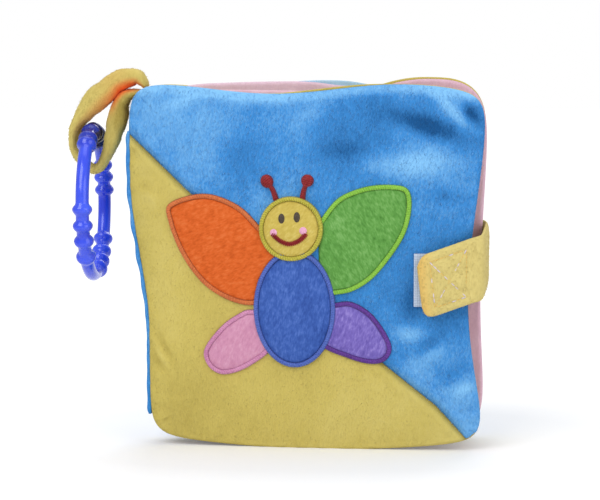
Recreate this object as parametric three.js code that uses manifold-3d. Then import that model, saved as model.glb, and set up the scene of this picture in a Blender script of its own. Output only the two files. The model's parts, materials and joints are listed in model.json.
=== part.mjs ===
// A crinkle cloth book that stands on its lower edges: two padded covers and two padded pages of
// plush on a soft spine, a butterfly sewn on the front, a hook-and-loop closure tab round the
// fore-edge, and a ribbed plastic link ring in a padded loop at the top of the spine.
// Millimetres, +Z up, the front cover faces -Y, the spine is on the -X side.

import * as THREE from "three";
import { mergeVertices } from "three/addons/utils/BufferGeometryUtils.js";
import Module from "manifold-3d";

const wasm = await Module();
wasm.setup();

// Covers and pages
const coverWidth = 160;
const coverHeight = 163;
const topDip = 4.2; // how far a cover's wavy top edge sinks below its two crests
const topDipShares = [0.06, 0.76]; // of the width, where the crests stand
const footRise = 5.5; // how far the lower corners stand above the lowest point of the edge
const footCut = 0.6; // depth of the flat that the book stands on
const foreEdgeDrawIn = 7.5; // how far a cover's fore-edge is pulled in at its deepest place
const drawInPower = 0.8; // below one, that place lies below half-way up
const pageSpineDrop = 2.5; // how far a page's top stands below the crests at the spine
const pageForeRise = 5; // how much higher it stands at the fore-edge
const pageOverhang = 1; // how far a page stands out past the covers at its corners
const pageDrawIn = 3;
const spineInset = 0.3; // from the hinge axes to the boards' sewn edge, at the top
const spineSlant = 7; // how much further the sewn edge stands in at the foot
const spineBendShares = [0.3, 0.75]; // of the height, between which it slants
const clothThickness = 1;
const seamGap = 0.3; // between any two pieces that lie face to face
const frontCrown = 6; // how far the padding lifts the front cover's outside
const backCrown = 5;
const innerCrown = 2.1; // the same on every face inside the book
const filmThickness = 0.3;
const coverSquareness = 14; // exponent of the outline's rounded corners
const pageSquareness = 9;
const fillingSquareness = 4;
const crownSquareness = 2.4; // exponent and power of the padded crown's profile
const crownPower = 0.7;

// Binding
const gutterPitch = 4.5; // from board to board at the spine
const fanDeg = 2.7; // from board to board, opening towards the fore-edge
const spineClothThickness = 0.8;
const spineTopMargin = 21; // from the book's top to the top of the spine cloth
const spineFootMargin = 14;
const spineBulge = 0.4; // how far each panel of the spine cloth swells out

// Diagonal seam of the front cover, as shares of the cover's width and height
const seamShares = [[0, 0.868], [0.172, 0.711], [0.45, 0.474], [0.72, 0.243], [0.868, 0.126], [1, -0.02]];

// Butterfly
const felt = 1; // cloth of the wings, body and head
const bodyPadding = 1.2;
const headPadding = 1.8;
const borderWidth = 2.6;
const borderHeight = 0.9; // of the satin stitch above the cloth it edges
const threadHeight = 0.8;
const bodyHalfWidth = 18.4;
const bodyHalfHeight = 26.5;
const bodyShares = [0.46, 0.392];
const headRadius = 14.4;
const headShares = [-0.1, 0.631]; // of its radius, from the body's top to the head's middle
const antennaWidth = 1.8;
const antennaBallRadius = 2.8;
const eyeHalfWidth = 1.4;
const eyeHalfHeight = 2.3;
const cheekRadius = 1.8;
const mouthWidth = 1.7;
const wingShares = {
  orange: [[0.1, 0.676], [0.2, 0.704], [0.295, 0.676], [0.36, 0.619], [0.42, 0.545], [0.4, 0.43],
    [0.342, 0.4], [0.269, 0.413], [0.196, 0.457], [0.136, 0.533], [0.097, 0.624]],
  green: [[0.52, 0.6], [0.54, 0.643], [0.588, 0.696], [0.662, 0.725], [0.736, 0.732], [0.785, 0.721],
    [0.797, 0.676], [0.782, 0.604], [0.738, 0.533], [0.675, 0.467], [0.6, 0.434], [0.53, 0.45]],
  pink: [[0.4, 0.375], [0.335, 0.388], [0.3, 0.376], [0.252, 0.343], [0.206, 0.29], [0.197, 0.254],
    [0.219, 0.218], [0.263, 0.206], [0.332, 0.232], [0.4, 0.29]],
  purple: [[0.53, 0.4], [0.578, 0.41], [0.629, 0.412], [0.69, 0.376], [0.739, 0.304], [0.734, 0.26],
    [0.691, 0.242], [0.616, 0.257], [0.53, 0.3]],
};
// The face and the antennae, in shares of the head's radius from its middle
const antennaShares = { left: [[-0.467, 0.88], [-0.567, 1.23], [-0.767, 1.546]],
  right: [[0.344, 0.914], [0.4, 1.23], [0.544, 1.58]] };
const eyeShares = { left: [-0.267, 0.327], right: [0.211, 0.372] };
const cheekShares = { left: [-0.489, -0.113], right: [0.411, -0.011] };
const mouthShares = [[-0.433, -0.26], [-0.233, -0.395], [-0.011, -0.451], [0.222, -0.384], [0.433, -0.226]];

// Closure tab
const tabHeight = 29;
const tabReach = 26; // from the fold to the free end
const tabDrop = 9; // how far the free end hangs below the fold
const tabEndSlant = 4; // how much nearer the free end's lower corner is to the fold
const tabThickness = 2.4;
const tabCorner = 5;
const tabCentreShare = 0.505; // of the cover's height, at the fold
const tabFoldPast = 3.9; // from the cover's drawn-in edge to the fold
const tabBow = 3.2; // how far the wrap bows out past the fold
const patchThickness = 0.9;
const patchMargin = 2.5; // from the hook patch to the tab's edge
const loopPatchOverhang = 1.6; // how far the loop patch shows past the tab
const loopPatchWidth = 21.5;
const loopPatchHeight = 23;

// Loop strap
const strapWidth = 16;
const strapThickness = 10.8; // at its fullest
const strapRootWidth = 8; // at the sewn ends, between the covers
const strapSquareness = 2.6;
const loopReach = 25.3; // from the hinge axes to the far side of the loop's middle line
const loopDrop = 38.2; // from the book's top to its lowest point
// The padded loop's middle line, from its upper sewn end out, round and back to its lower sewn end,
// in shares of its reach and of its drop, with its thickness there as a share of the fullest.
const loopShares = [[-0.3, 0.037, 0.22], [-0.249, -0.016, 0.41], [-0.142, -0.076, 0.63], [0.043, -0.065, 0.8],
  [0.245, -0.008, 0.91], [0.403, 0.084, 0.96], [0.609, 0.186, 1], [0.802, 0.34, 0.72], [0.929, 0.461, 0.5],
  [0.992, 0.563, 0.41], [1, 0.704, 0.36], [0.968, 0.793, 0.36], [0.854, 0.916, 0.36], [0.739, 0.982, 0.37],
  [0.601, 1, 0.41], [0.482, 0.914, 0.35], [0.348, 0.712, 0.57], [0.261, 0.503, 0.76], [0.198, 0.356, 0.8],
  [0.158, 0.233, 0.63], [0.051, 0.139, 0.52], [-0.107, 0.113, 0.35], [-0.3, 0.107, 0.2]];

// Link ring
const ringRadius = 32.2; // of the tube's middle line
const ringTube = 2.95;
const ribRadius = 4.45;
const ribHalfLength = 2.3;
const ribPower = 0.8; // of the rib's rounded profile
const ringStartShare = 0.6; // of the loop's drop, where the ring would be loose in the loop
const ringPlane = 17; // from the hinge axes to the ring's plane
// Ribs in their groups, in degrees round the ring from its top towards the front
const ribDegrees = [-163, -150, -138, -125, -83, -72, -61, -29, -16, -3, 10, 25, 33, 91, 104, 117, 133];

// Facets
const sideShares = [0, Math.sqrt(footCut / footRise), 0.62, 0.8, 0.9]; // from mid-side to corner
const fillingSteps = 20;
const ringRowsShares = [0, 0.4, 0.68, 0.86, 0.955, 1];
const fillingRowsShares = [0, 0.5, 0.82, 1];
const fillingShare = 0.85; // how far the filling reaches towards the board's edge
const filmShare = 0.82;

const spineSteps = 12;
const strapSteps = 48;
const strapSides = 10;
const ringSides = 10;
const ribStationShares = [-1, -0.55, 0, 0.55, 1];
const smoothStepDeg = 8; // between the ring's sections where it has no ribs
const leastStepDeg = 0.6;
const fullTurnDeg = 360;

const overrun = 10; // how far a cutter runs past what it cuts

const rad = THREE.MathUtils.degToRad;

// A signed power, for the superellipse's corners.
const signedPower = (value, exponent) => Math.sign(value) * Math.abs(value) ** exponent;

// How far along an even swing from 0 to 1 and back a share lies, between two crests of the swing.
const swing = (share, [first, second]) => Math.sin((Math.PI * (share - first)) / (second - first)) ** 2;

// What sets the two kinds of board apart: their corners, and how their edges run.
const coverForm = { squareness: coverSquareness, overhang: 0, drawIn: foreEdgeDrawIn,
  topEdge: (across) => coverHeight - topDip * swing(across, topDipShares) };
const pageForm = { squareness: pageSquareness, overhang: pageOverhang, drawIn: pageDrawIn,
  topEdge: (across) => coverHeight - pageSpineDrop + pageForeRise * across };

// Where a board's other three edges run, at shares across and up.
const spineEdge = (up) => spineInset + spineSlant * (1 - THREE.MathUtils.smoothstep(up, ...spineBendShares));
const foreEdge = (up, form) =>
  coverWidth + form.overhang - form.drawIn * swing(Math.max(0, up) ** drawInPower, [0, 1]);
const footEdge = (across) => footRise * (2 * across - 1) ** 2 - footCut;

// Shares across and up of a board become millimetres from the hinge axis and the floor.
function boardPoint(across, up, form = coverForm) {
  const x = spineEdge(up) + across * (foreEdge(up, form) - spineEdge(up));
  return [x, Math.max(0, footEdge(across) + up * (form.topEdge(across) - footEdge(across)))];
}

// The reverse: shares across and up of a point on a cover, found in a few steps.
function coverSharesAt(x, z) {
  let across = x / coverWidth;
  let up = z / coverHeight;
  for (let step = 0; step < 4; step++) {
    across = (x - spineEdge(up)) / (foreEdge(up, coverForm) - spineEdge(up));
    up = (z - footEdge(across)) / (coverForm.topEdge(across) - footEdge(across));
  }
  return [across, up];
}

// Angles round an outline of this squareness that part its sides evenly and meet its corners.
function outlineAngles(squareness) {
  const fromAxis = sideShares.map((share) => Math.asin(share ** (squareness / 2)));
  return [0, 1, 2, 3].flatMap((side) => {
    const axis = (Math.PI / 2) * side;
    const before = fromAxis.slice(1).reverse().map((angle) => axis - angle);
    return [...before, ...fromAxis.map((angle) => axis + angle), axis + Math.PI / 4];
  });
}

const evenAngles = (count) => Array.from({ length: count }, (_, i) => (2 * Math.PI * i) / count);

// The padded crown, from nothing at the edge to one in the middle.
function crownAt(across, up, squareness) {
  const side = Math.abs(2 * across - 1);
  const rise = Math.abs(2 * up - 1);
  const most = Math.max(side, rise);
  if (most === 0) return 1;
  const round = (side ** squareness + rise ** squareness) ** (1 / squareness);
  const stretch = round / most;
  const profile = (t) => Math.max(0, 1 - (t * stretch) ** crownSquareness) ** crownPower;
  return profile(side) * profile(rise);
}

// Manifold-3d and three.js geometry, each made from the other.
function solidFrom(geometry) {
  const bare = geometry.index ? geometry.toNonIndexed() : geometry.clone();
  for (const name of ["normal", "uv"]) bare.deleteAttribute(name);
  const merged = mergeVertices(bare, 1e-4);
  return new wasm.Manifold(new wasm.Mesh({ numProp: 3,
    vertProperties: new Float32Array(merged.attributes.position.array),
    triVerts: new Uint32Array(merged.index.array) }));
}

function geometryFrom(solid) {
  const mesh = solid.getMesh();
  const geometry = new THREE.BufferGeometry();
  const points = new Float32Array(mesh.numVert * 3);
  for (let i = 0; i < mesh.numVert; i++) {
    points.set(mesh.vertProperties.subarray(i * mesh.numProp, i * mesh.numProp + 3), i * 3);
  }
  geometry.setAttribute("position", new THREE.BufferAttribute(points, 3));
  geometry.setIndex(new THREE.BufferAttribute(mesh.triVerts, 1));
  geometry.computeVertexNormals();
  return geometry;
}

// A closed solid from a front and a back sheet over the same rings of shares. Both sheets are
// functions of (across, up) that give a height towards the reader, -Y.
function layer(form, squareness, angles, rows, reach, backHeight, frontHeight) {
  const steps = angles.length;
  const positions = [];
  const faces = [];
  const sheet = (height) => {
    const first = positions.length / 3;
    for (const row of rows) {
      const count = row === 0 ? 1 : steps;
      for (let i = 0; i < count; i++) {
        const side = reach * row * signedPower(Math.cos(angles[i]), 2 / squareness);
        const rise = reach * row * signedPower(Math.sin(angles[i]), 2 / squareness);
        const [across, up] = [(1 + side) / 2, (1 + rise) / 2];
        const [x, z] = boardPoint(across, up, form);
        positions.push(x, -height(across, up), z);
      }
    }
    return first;
  };
  const frontFirst = sheet(frontHeight);
  const backFirst = sheet(backHeight);
  const index = (first, row, i) => first + (row === 0 ? 0 : 1 + (row - 1) * steps + (i % steps));
  for (let row = 1; row < rows.length; row++) {
    for (let i = 0; i < steps; i++) {
      for (const [first, turned] of [[frontFirst, false], [backFirst, true]]) {
        const inner = index(first, row - 1, i);
        const innerNext = index(first, row - 1, i + 1);
        const outer = index(first, row, i);
        const outerNext = index(first, row, i + 1);
        const pair = row === 1 ? [[inner, outer, outerNext]]
          : [[inner, outer, outerNext], [inner, outerNext, innerNext]];
        for (const [a, b, c] of pair) faces.push(...(turned ? [a, c, b] : [a, b, c]));
      }
    }
  }
  const last = rows.length - 1;
  for (let i = 0; i < steps; i++) {
    const a = index(frontFirst, last, i);
    const b = index(frontFirst, last, i + 1);
    const c = index(backFirst, last, i);
    const d = index(backFirst, last, i + 1);
    faces.push(a, c, b, b, c, d);
  }
  const geometry = new THREE.BufferGeometry();
  geometry.setAttribute("position", new THREE.Float32BufferAttribute(positions, 3));
  geometry.setIndex(faces);
  return geometry;
}

// The two cloths, the wadding and the crinkle film of one board, in the board's own frame.
function boardPieces(form, frontRise, backRise) {
  const crown = (across, up) => crownAt(across, up, form.squareness);
  const half = seamGap / 2;
  const frontInside = (a, u) => half + frontRise * crown(a, u);
  const backInside = (a, u) => -half - backRise * crown(a, u);
  const cloth = (back, front) =>
    layer(form, form.squareness, outlineAngles(form.squareness), ringRowsShares, 1, back, front);
  const filling = (reach, back, front) =>
    layer(form, fillingSquareness, evenAngles(fillingSteps), fillingRowsShares, reach, back, front);
  const filmFront = (a, u) => frontInside(a, u) - seamGap;
  const filmBack = (a, u) => filmFront(a, u) - filmThickness;
  return {
    frontCloth: cloth(frontInside, (a, u) => frontInside(a, u) + clothThickness),
    backCloth: cloth((a, u) => backInside(a, u) - clothThickness, backInside),
    film: filling(filmShare, filmBack, filmFront),
    wadding: filling(fillingShare, (a, u) => backInside(a, u) + seamGap, (a, u) => filmBack(a, u) - seamGap),
  };
}

// A height above the front cover's outside, at a point of its plane.
function frontSurface(x, z) {
  const [across, up] = coverSharesAt(x, z);
  const inside = across > 0 && across < 1 && up > 0 && up < 1;
  const crown = inside ? crownAt(across, up, coverSquareness) : 0;
  return seamGap / 2 + clothThickness + frontCrown * crown;
}

// A sheet of cloth that follows the front cover's outside over a rectangle of its plane.
function blanket(x0, x1, z0, z1, cell, low, high) {
  const columns = Math.max(1, Math.round((x1 - x0) / cell));
  const rows = Math.max(1, Math.round((z1 - z0) / cell));
  const positions = [];
  const faces = [];
  for (const lift of [low, high]) {
    for (let row = 0; row <= rows; row++) {
      for (let column = 0; column <= columns; column++) {
        const x = x0 + ((x1 - x0) * column) / columns;
        const z = z0 + ((z1 - z0) * row) / rows;
        positions.push(x, -(frontSurface(x, z) + lift), z);
      }
    }
  }
  const at = (side, row, column) => side * (rows + 1) * (columns + 1) + row * (columns + 1) + column;
  const quad = (a, b, c, d) => faces.push(a, b, c, a, c, d);
  for (let row = 0; row < rows; row++) {
    for (let column = 0; column < columns; column++) {
      quad(at(1, row, column), at(1, row, column + 1), at(1, row + 1, column + 1), at(1, row + 1, column));
      quad(at(0, row, column), at(0, row + 1, column), at(0, row + 1, column + 1), at(0, row, column + 1));
    }
  }
  for (let column = 0; column < columns; column++) {
    quad(at(0, 0, column), at(0, 0, column + 1), at(1, 0, column + 1), at(1, 0, column));
    quad(at(0, rows, column + 1), at(0, rows, column), at(1, rows, column), at(1, rows, column + 1));
  }
  for (let row = 0; row < rows; row++) {
    quad(at(0, row + 1, 0), at(0, row, 0), at(1, row, 0), at(1, row + 1, 0));
    quad(at(0, row, columns), at(0, row + 1, columns), at(1, row + 1, columns), at(1, row, columns));
  }
  const geometry = new THREE.BufferGeometry();
  geometry.setAttribute("position", new THREE.Float32BufferAttribute(positions, 3));
  geometry.setIndex(faces);
  return solidFrom(geometry);
}

// A prism across the cover's plane, from an outline of [x, z] points.
function prism(points) {
  const shape = new THREE.Shape(points.map(([x, z]) => new THREE.Vector2(x, z)));
  const depth = coverWidth;
  const geometry = new THREE.ExtrudeGeometry(shape, { depth, bevelEnabled: false });
  geometry.translate(0, 0, -depth / 2);
  geometry.rotateX(Math.PI / 2);
  return solidFrom(geometry);
}

// Points of a closed curve through the given ones, counter-clockwise.
function smoothOutline(points, count) {
  const curve = new THREE.CatmullRomCurve3(points.map(([x, z]) => new THREE.Vector3(x, z, 0)), true);
  const line = curve.getSpacedPoints(count).slice(0, count).map((p) => [p.x, p.y]);
  return signedArea(line) > 0 ? line : line.reverse();
}

function signedArea(line) {
  return line.reduce((sum, [x, z], i) => {
    const [nextX, nextZ] = line[(i + 1) % line.length];
    return sum + (x * nextZ - nextX * z) / 2;
  }, 0);
}

// The outline moved inwards, or outwards where the distance is negative.
function inset(line, distance) {
  const count = line.length;
  return line.map(([x, z], i) => {
    const [beforeX, beforeZ] = line[(i + count - 1) % count];
    const [afterX, afterZ] = line[(i + 1) % count];
    const length = Math.hypot(afterX - beforeX, afterZ - beforeZ);
    return [x - ((afterZ - beforeZ) / length) * distance, z + ((afterX - beforeX) / length) * distance];
  });
}

const ellipse = (centre, halfWidth, halfHeight, count) => evenAngles(count).map((angle) =>
  [centre[0] + halfWidth * Math.cos(angle), centre[1] + halfHeight * Math.sin(angle)]);

// The outline of a stroke of even width along an open curve, with a round or swollen far end.
function stroke(points, width, steps) {
  const curve = new THREE.CatmullRomCurve3(points.map(([x, z]) => new THREE.Vector3(x, z, 0)));
  const near = [];
  const far = [];
  for (let i = 0; i <= steps; i++) {
    const p = curve.getPoint(i / steps);
    const t = curve.getTangent(i / steps);
    near.push([p.x + (t.y * width) / 2, p.y - (t.x * width) / 2]);
    far.unshift([p.x - (t.y * width) / 2, p.y + (t.x * width) / 2]);
  }
  return near.concat(far);
}

const onCover = ([across, up]) => [across * coverWidth, up * coverHeight];

// The piece of a blanket inside an outline, without what the cutters take away and any sliver
// that they leave beyond them.
function patch(outline, low, high, cell, cutters = []) {
  const xs = outline.map(([x]) => x);
  const zs = outline.map(([, z]) => z);
  const sheet = blanket(Math.min(...xs) - cell / 2, Math.max(...xs) + cell / 2,
    Math.min(...zs) - cell / 2, Math.max(...zs) + cell / 2, cell, low, high);
  const cut = cutters.reduce((solid, cutter) => solid.subtract(cutter), sheet.intersect(prism(outline)));
  return cut.decompose().sort((a, b) => b.volume() - a.volume())[0];
}

const materialOf = (colour, roughness = 0.95) =>
  new THREE.MeshStandardMaterial({ color: colour, roughness, metalness: 0 });
const cloth = {
  blue: materialOf(0x4696d7),
  yellow: materialOf(0xcdb95f),
  pink: materialOf(0xd791b4),
  rose: materialOf(0xcd9bb4),
  sky: materialOf(0x96c8e6),
  orange: materialOf(0xe6692d),
  green: materialOf(0x5faa4b),
  lime: materialOf(0x96d728),
  royal: materialOf(0x466ec8),
  purple: materialOf(0x916ec8),
  violet: materialOf(0x641e8c),
  head: materialOf(0xe1c864),
  red: materialOf(0xaf191e),
  dark: materialOf(0x3c3c32),
  cheek: materialOf(0xe6a0c3),
  white: materialOf(0xe8e8e6),
  wadding: materialOf(0xf2f0ea),
  film: materialOf(0xdfe4e8, 0.3),
  plastic: materialOf(0x2d46dc, 0.15),
};

const book = new THREE.Group();

function add(group, name, shape, material) {
  const geometry = shape.isBufferGeometry ? shape : geometryFrom(shape);
  const mesh = new THREE.Mesh(geometry, material);
  mesh.name = name;
  group.add(mesh);
  return mesh;
}

// Boards from the back of the book to its front: place at the spine and turn of the fan.
const boardNames = ["back_cover", "page_2", "page_1", "front_cover"];
const boards = Object.fromEntries(boardNames.map((name, i) => {
  const step = (boardNames.length - 1) / 2 - i;
  const group = new THREE.Group();
  group.position.y = step * gutterPitch;
  group.rotation.z = rad(step * fanDeg);
  book.add(group);
  return [name, group];
}));

const shapes = {
  back_cover: boardPieces(coverForm, innerCrown, backCrown),
  page_2: boardPieces(pageForm, innerCrown, innerCrown),
  page_1: boardPieces(pageForm, innerCrown, innerCrown),
  front_cover: boardPieces(coverForm, frontCrown, innerCrown),
};

for (const name of boardNames) {
  add(boards[name], name + "_wadding", shapes[name].wadding, cloth.wadding);
  add(boards[name], name + "_crinkle_film", shapes[name].film, cloth.film);
}
add(boards.back_cover, "back_cover_outer_cloth", shapes.back_cover.backCloth, cloth.blue);
add(boards.back_cover, "back_cover_lining", shapes.back_cover.frontCloth, cloth.yellow);
add(boards.page_2, "page_2_back_cloth", shapes.page_2.backCloth, cloth.sky);
add(boards.page_2, "page_2_front_cloth", shapes.page_2.frontCloth, cloth.rose);
add(boards.page_1, "page_1_back_cloth", shapes.page_1.backCloth, cloth.yellow);
add(boards.page_1, "page_1_front_cloth", shapes.page_1.frontCloth, cloth.pink);
add(boards.front_cover, "front_cover_lining", shapes.front_cover.backCloth, cloth.yellow);

// The front cover's outside is one crowned cloth, parted by the diagonal seam.
const frontCloth = solidFrom(shapes.front_cover.frontCloth);
const seam = seamShares.map(onCover);
const pastCover = coverWidth + overrun;
const above = (distance) => {
  const moved = seam.map(([x, z]) => [x, z + distance]);
  return prism([[-overrun, moved[0][1]], ...moved.slice(0, -1), [pastCover, moved.at(-1)[1]],
    [pastCover, coverHeight + overrun], [-overrun, coverHeight + overrun]]);
};
add(boards.front_cover, "front_cover_blue_panel", frontCloth.intersect(above(seamGap / 2)), cloth.blue);
add(boards.front_cover, "front_cover_yellow_panel", frontCloth.subtract(above(-seamGap / 2)), cloth.yellow);

// Butterfly
const cell = coverWidth / 18;
const cover = boards.front_cover;
const bodyCentre = onCover(bodyShares);
const headCentre = [bodyCentre[0] + headShares[0] * headRadius,
  bodyCentre[1] + bodyHalfHeight + headShares[1] * headRadius];
const onHead = ([out, up]) => [headCentre[0] + out * headRadius, headCentre[1] + up * headRadius];
const bodyOutline = ellipse(bodyCentre, bodyHalfWidth, bodyHalfHeight, 26);
const headOutline = ellipse(headCentre, headRadius, headRadius, 24);
const headCutter = prism(inset(headOutline, -seamGap));

// A padded cloth with its satin-stitch border, each its own piece.
function applique(name, outline, thickness, fill, edge, cutters) {
  const inner = inset(outline, borderWidth);
  const hole = prism(inner);
  const low = seamGap;
  const cutBack = cutters.map(({ line }) => prism(inset(line, -seamGap)));
  add(cover, name, patch(inset(inner, seamGap), low, low + thickness, cell, cutBack), fill);
  const high = low + thickness + borderHeight;
  add(cover, name + "_border", patch(outline, low, high, cell, [hole, ...cutBack]), edge);
}

for (const [name, fill, edge] of [["orange", cloth.orange, cloth.orange], ["green", cloth.green, cloth.lime],
  ["pink", cloth.pink, cloth.pink], ["purple", cloth.purple, cloth.violet]]) {
  const outline = smoothOutline(wingShares[name].map(onCover), 30);
  applique(name + "_wing", outline, felt, fill, edge, [{ line: headOutline }, { line: bodyOutline }]);
}
applique("body", bodyOutline, bodyPadding, cloth.royal, cloth.royal, [{ line: headOutline }]);
applique("head", headOutline, headPadding, cloth.head, cloth.head, []);

const faceLow = seamGap + headPadding + seamGap;
const faceHigh = faceLow + threadHeight;
for (const side of ["left", "right"]) {
  const line = antennaShares[side].map(onHead);
  const ball = prism(ellipse(line.at(-1), antennaBallRadius, antennaBallRadius, 12));
  const stem = prism(stroke(line, antennaWidth, 4));
  const low = seamGap;
  const high = low + felt + threadHeight;
  const reach = Math.hypot(antennaBallRadius, antennaBallRadius);
  const xs = line.map(([x]) => x);
  const zs = line.map(([, z]) => z);
  const sheet = blanket(Math.min(...xs) - reach, Math.max(...xs) + reach, Math.min(...zs) - reach,
    Math.max(...zs) + reach, cell, low, high);
  const antenna = sheet.intersect(ball.add(stem)).subtract(headCutter);
  add(cover, side + "_antenna", antenna, cloth.red);
  const eye = ellipse(onHead(eyeShares[side]), eyeHalfWidth, eyeHalfHeight, 14);
  add(cover, side + "_eye", patch(eye, faceLow, faceHigh, cell), cloth.dark);
  const cheek = ellipse(onHead(cheekShares[side]), cheekRadius, cheekRadius, 12);
  add(cover, side + "_cheek", patch(cheek, faceLow, faceHigh, cell), cloth.cheek);
}
const mouth = stroke(mouthShares.map(onHead), mouthWidth, 10);
add(cover, "mouth", patch(mouth, faceLow, faceHigh, cell), cloth.red);

// Spine cloth: three panels between the lines of stitching where the boards are sewn on
const spinePanelEdges = [-1.5, -0.5, 0.5, 1.5].map((step) => step * gutterPitch);
const spineEnd = clothThickness + seamGap;
["front_gutter_cloth", "spine_cloth", "back_gutter_cloth"].forEach((name, i) => {
  const from = spinePanelEdges[i] - (i === 0 ? spineEnd : -seamGap / 2);
  const to = spinePanelEdges[i + 1] + (i === 2 ? spineEnd : -seamGap / 2);
  const foot = spineFootMargin;
  const top = coverHeight - spineTopMargin;
  const shape = new THREE.Shape();
  shape.moveTo(0, from);
  shape.quadraticCurveTo(0, (from + to) / 2, 0, to);
  shape.lineTo(-spineClothThickness, to);
  shape.quadraticCurveTo(-spineClothThickness - spineBulge, (from + to) / 2, -spineClothThickness, from);
  const panel = new THREE.ExtrudeGeometry(shape,
    { depth: top - foot, steps: spineSteps, bevelEnabled: false, curveSegments: 4 });
  panel.translate(-seamGap, 0, foot);
  const place = panel.attributes.position;
  for (let k = 0; k < place.count; k++) place.setX(k, place.getX(k) + spineEdge(place.getZ(k) / coverHeight));
  add(book, name, panel, cloth.blue);
});

// Closure tab: its free end and patches follow the front cover, in that cover's frame
const foldAcross = coverWidth - foreEdgeDrawIn + tabFoldPast;
const foldHeight = tabCentreShare * coverHeight;

// The free end's outline, from the fold to its two rounded corners, drawn in by a margin.
function tabOutline(margin) {
  const near = foldAcross - margin;
  const far = foldAcross - tabReach + margin;
  const low = foldHeight - tabHeight / 2 + margin;
  const high = foldHeight + tabHeight / 2 - margin;
  const shape = new THREE.Shape();
  shape.moveTo(near, high);
  shape.lineTo(far + tabCorner, high - tabDrop + (tabDrop * tabCorner) / tabReach);
  shape.quadraticCurveTo(far, high - tabDrop, far, high - tabDrop - tabCorner);
  shape.lineTo(far + tabEndSlant, low - tabDrop + 2 * tabCorner);
  shape.quadraticCurveTo(far + tabEndSlant, low - tabDrop, far + tabEndSlant + tabCorner, low - tabDrop + tabCorner / 4);
  shape.lineTo(near, low);
  return shape.getPoints(4).map((p) => [p.x, p.y]);
}
const tabCell = tabHeight / 9;
const loopPatchLow = seamGap;
const hookPatchLow = loopPatchLow + patchThickness + seamGap;
const tabLow = hookPatchLow + patchThickness + seamGap;
const loopPatchFar = foldAcross - tabReach - loopPatchOverhang;
const loopPatchTop = foldHeight + tabHeight / 2 - tabDrop + loopPatchOverhang;
add(cover, "loop_patch", patch([[loopPatchFar, loopPatchTop], [loopPatchFar, loopPatchTop - loopPatchHeight],
  [loopPatchFar + loopPatchWidth, loopPatchTop - loopPatchHeight], [loopPatchFar + loopPatchWidth, loopPatchTop]],
loopPatchLow, loopPatchLow + patchThickness, tabCell), cloth.white);
add(cover, "hook_patch", patch(tabOutline(patchMargin), hookPatchLow, hookPatchLow + patchThickness, tabCell),
  cloth.white);
add(cover, "closure_tab_end", patch(tabOutline(0), tabLow, tabLow + tabThickness, tabCell), cloth.yellow);

// The wrap, from the back cover's seam round the fore-edge to the fold, in the book's frame.
const onBoard = (name, across, lift) => {
  const point = new THREE.Vector3(across, -lift, 0);
  boards[name].updateMatrix();
  return point.applyMatrix4(boards[name].matrix);
};
const wrapTopShare = (foldHeight + tabHeight / 2) / coverHeight;
const backSeam = onBoard("back_cover", foreEdge(wrapTopShare, coverForm) + 2 * seamGap + tabThickness / 2, 0);
const fold = onBoard("front_cover", foldAcross + seamGap + tabThickness / 2, seamGap / 2 + clothThickness + tabLow);
const wrapLine = new THREE.CatmullRomCurve3([
  backSeam,
  new THREE.Vector3(fold.x + tabBow / 2, backSeam.y - tabThickness, 0),
  new THREE.Vector3(fold.x + tabBow, 0, 0),
  new THREE.Vector3(fold.x + tabBow / 2, fold.y + tabThickness * 2, 0),
  new THREE.Vector3(fold.x, fold.y - tabThickness, 0),
]);
const wrapPoints = stroke(wrapLine.getSpacedPoints(12).map((p) => [p.x, p.y]), tabThickness, 14);
const wrapShape = new THREE.Shape(wrapPoints.map(([x, y]) => new THREE.Vector2(x, y)));
const wrap = new THREE.ExtrudeGeometry(wrapShape, { depth: tabHeight, bevelEnabled: false });
wrap.translate(0, 0, foldHeight - tabHeight / 2);
add(book, "closure_tab_wrap", wrap, cloth.yellow);

// A tube of changing section along an open or closed row of frames. Each frame gives its centre,
// the two directions of its section and its half sizes along them.
function loft(frames, sides, squareness, closed) {
  const positions = [];
  const faces = [];
  for (const { centre, wide, thick, halfWidth, halfThickness } of frames) {
    for (let i = 0; i < sides; i++) {
      const angle = (2 * Math.PI * (i + 0.5)) / sides;
      const w = halfWidth * signedPower(Math.cos(angle), 2 / squareness);
      const t = halfThickness * signedPower(Math.sin(angle), 2 / squareness);
      positions.push(...centre.clone().addScaledVector(wide, w).addScaledVector(thick, t).toArray());
    }
  }
  const rows = closed ? frames.length : frames.length - 1;
  for (let row = 0; row < rows; row++) {
    const next = (row + 1) % frames.length;
    for (let i = 0; i < sides; i++) {
      const a = row * sides + i;
      const b = row * sides + ((i + 1) % sides);
      const c = next * sides + i;
      const d = next * sides + ((i + 1) % sides);
      faces.push(a, b, c, b, d, c);
    }
  }
  if (!closed) {
    const last = (frames.length - 1) * sides;
    for (let i = 1; i < sides - 1; i++) {
      faces.push(0, i + 1, i);
      faces.push(last, last + i, last + i + 1);
    }
  }
  const geometry = new THREE.BufferGeometry();
  geometry.setAttribute("position", new THREE.Float32BufferAttribute(positions, 3));
  geometry.setIndex(faces);
  return geometry;
}

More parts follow.
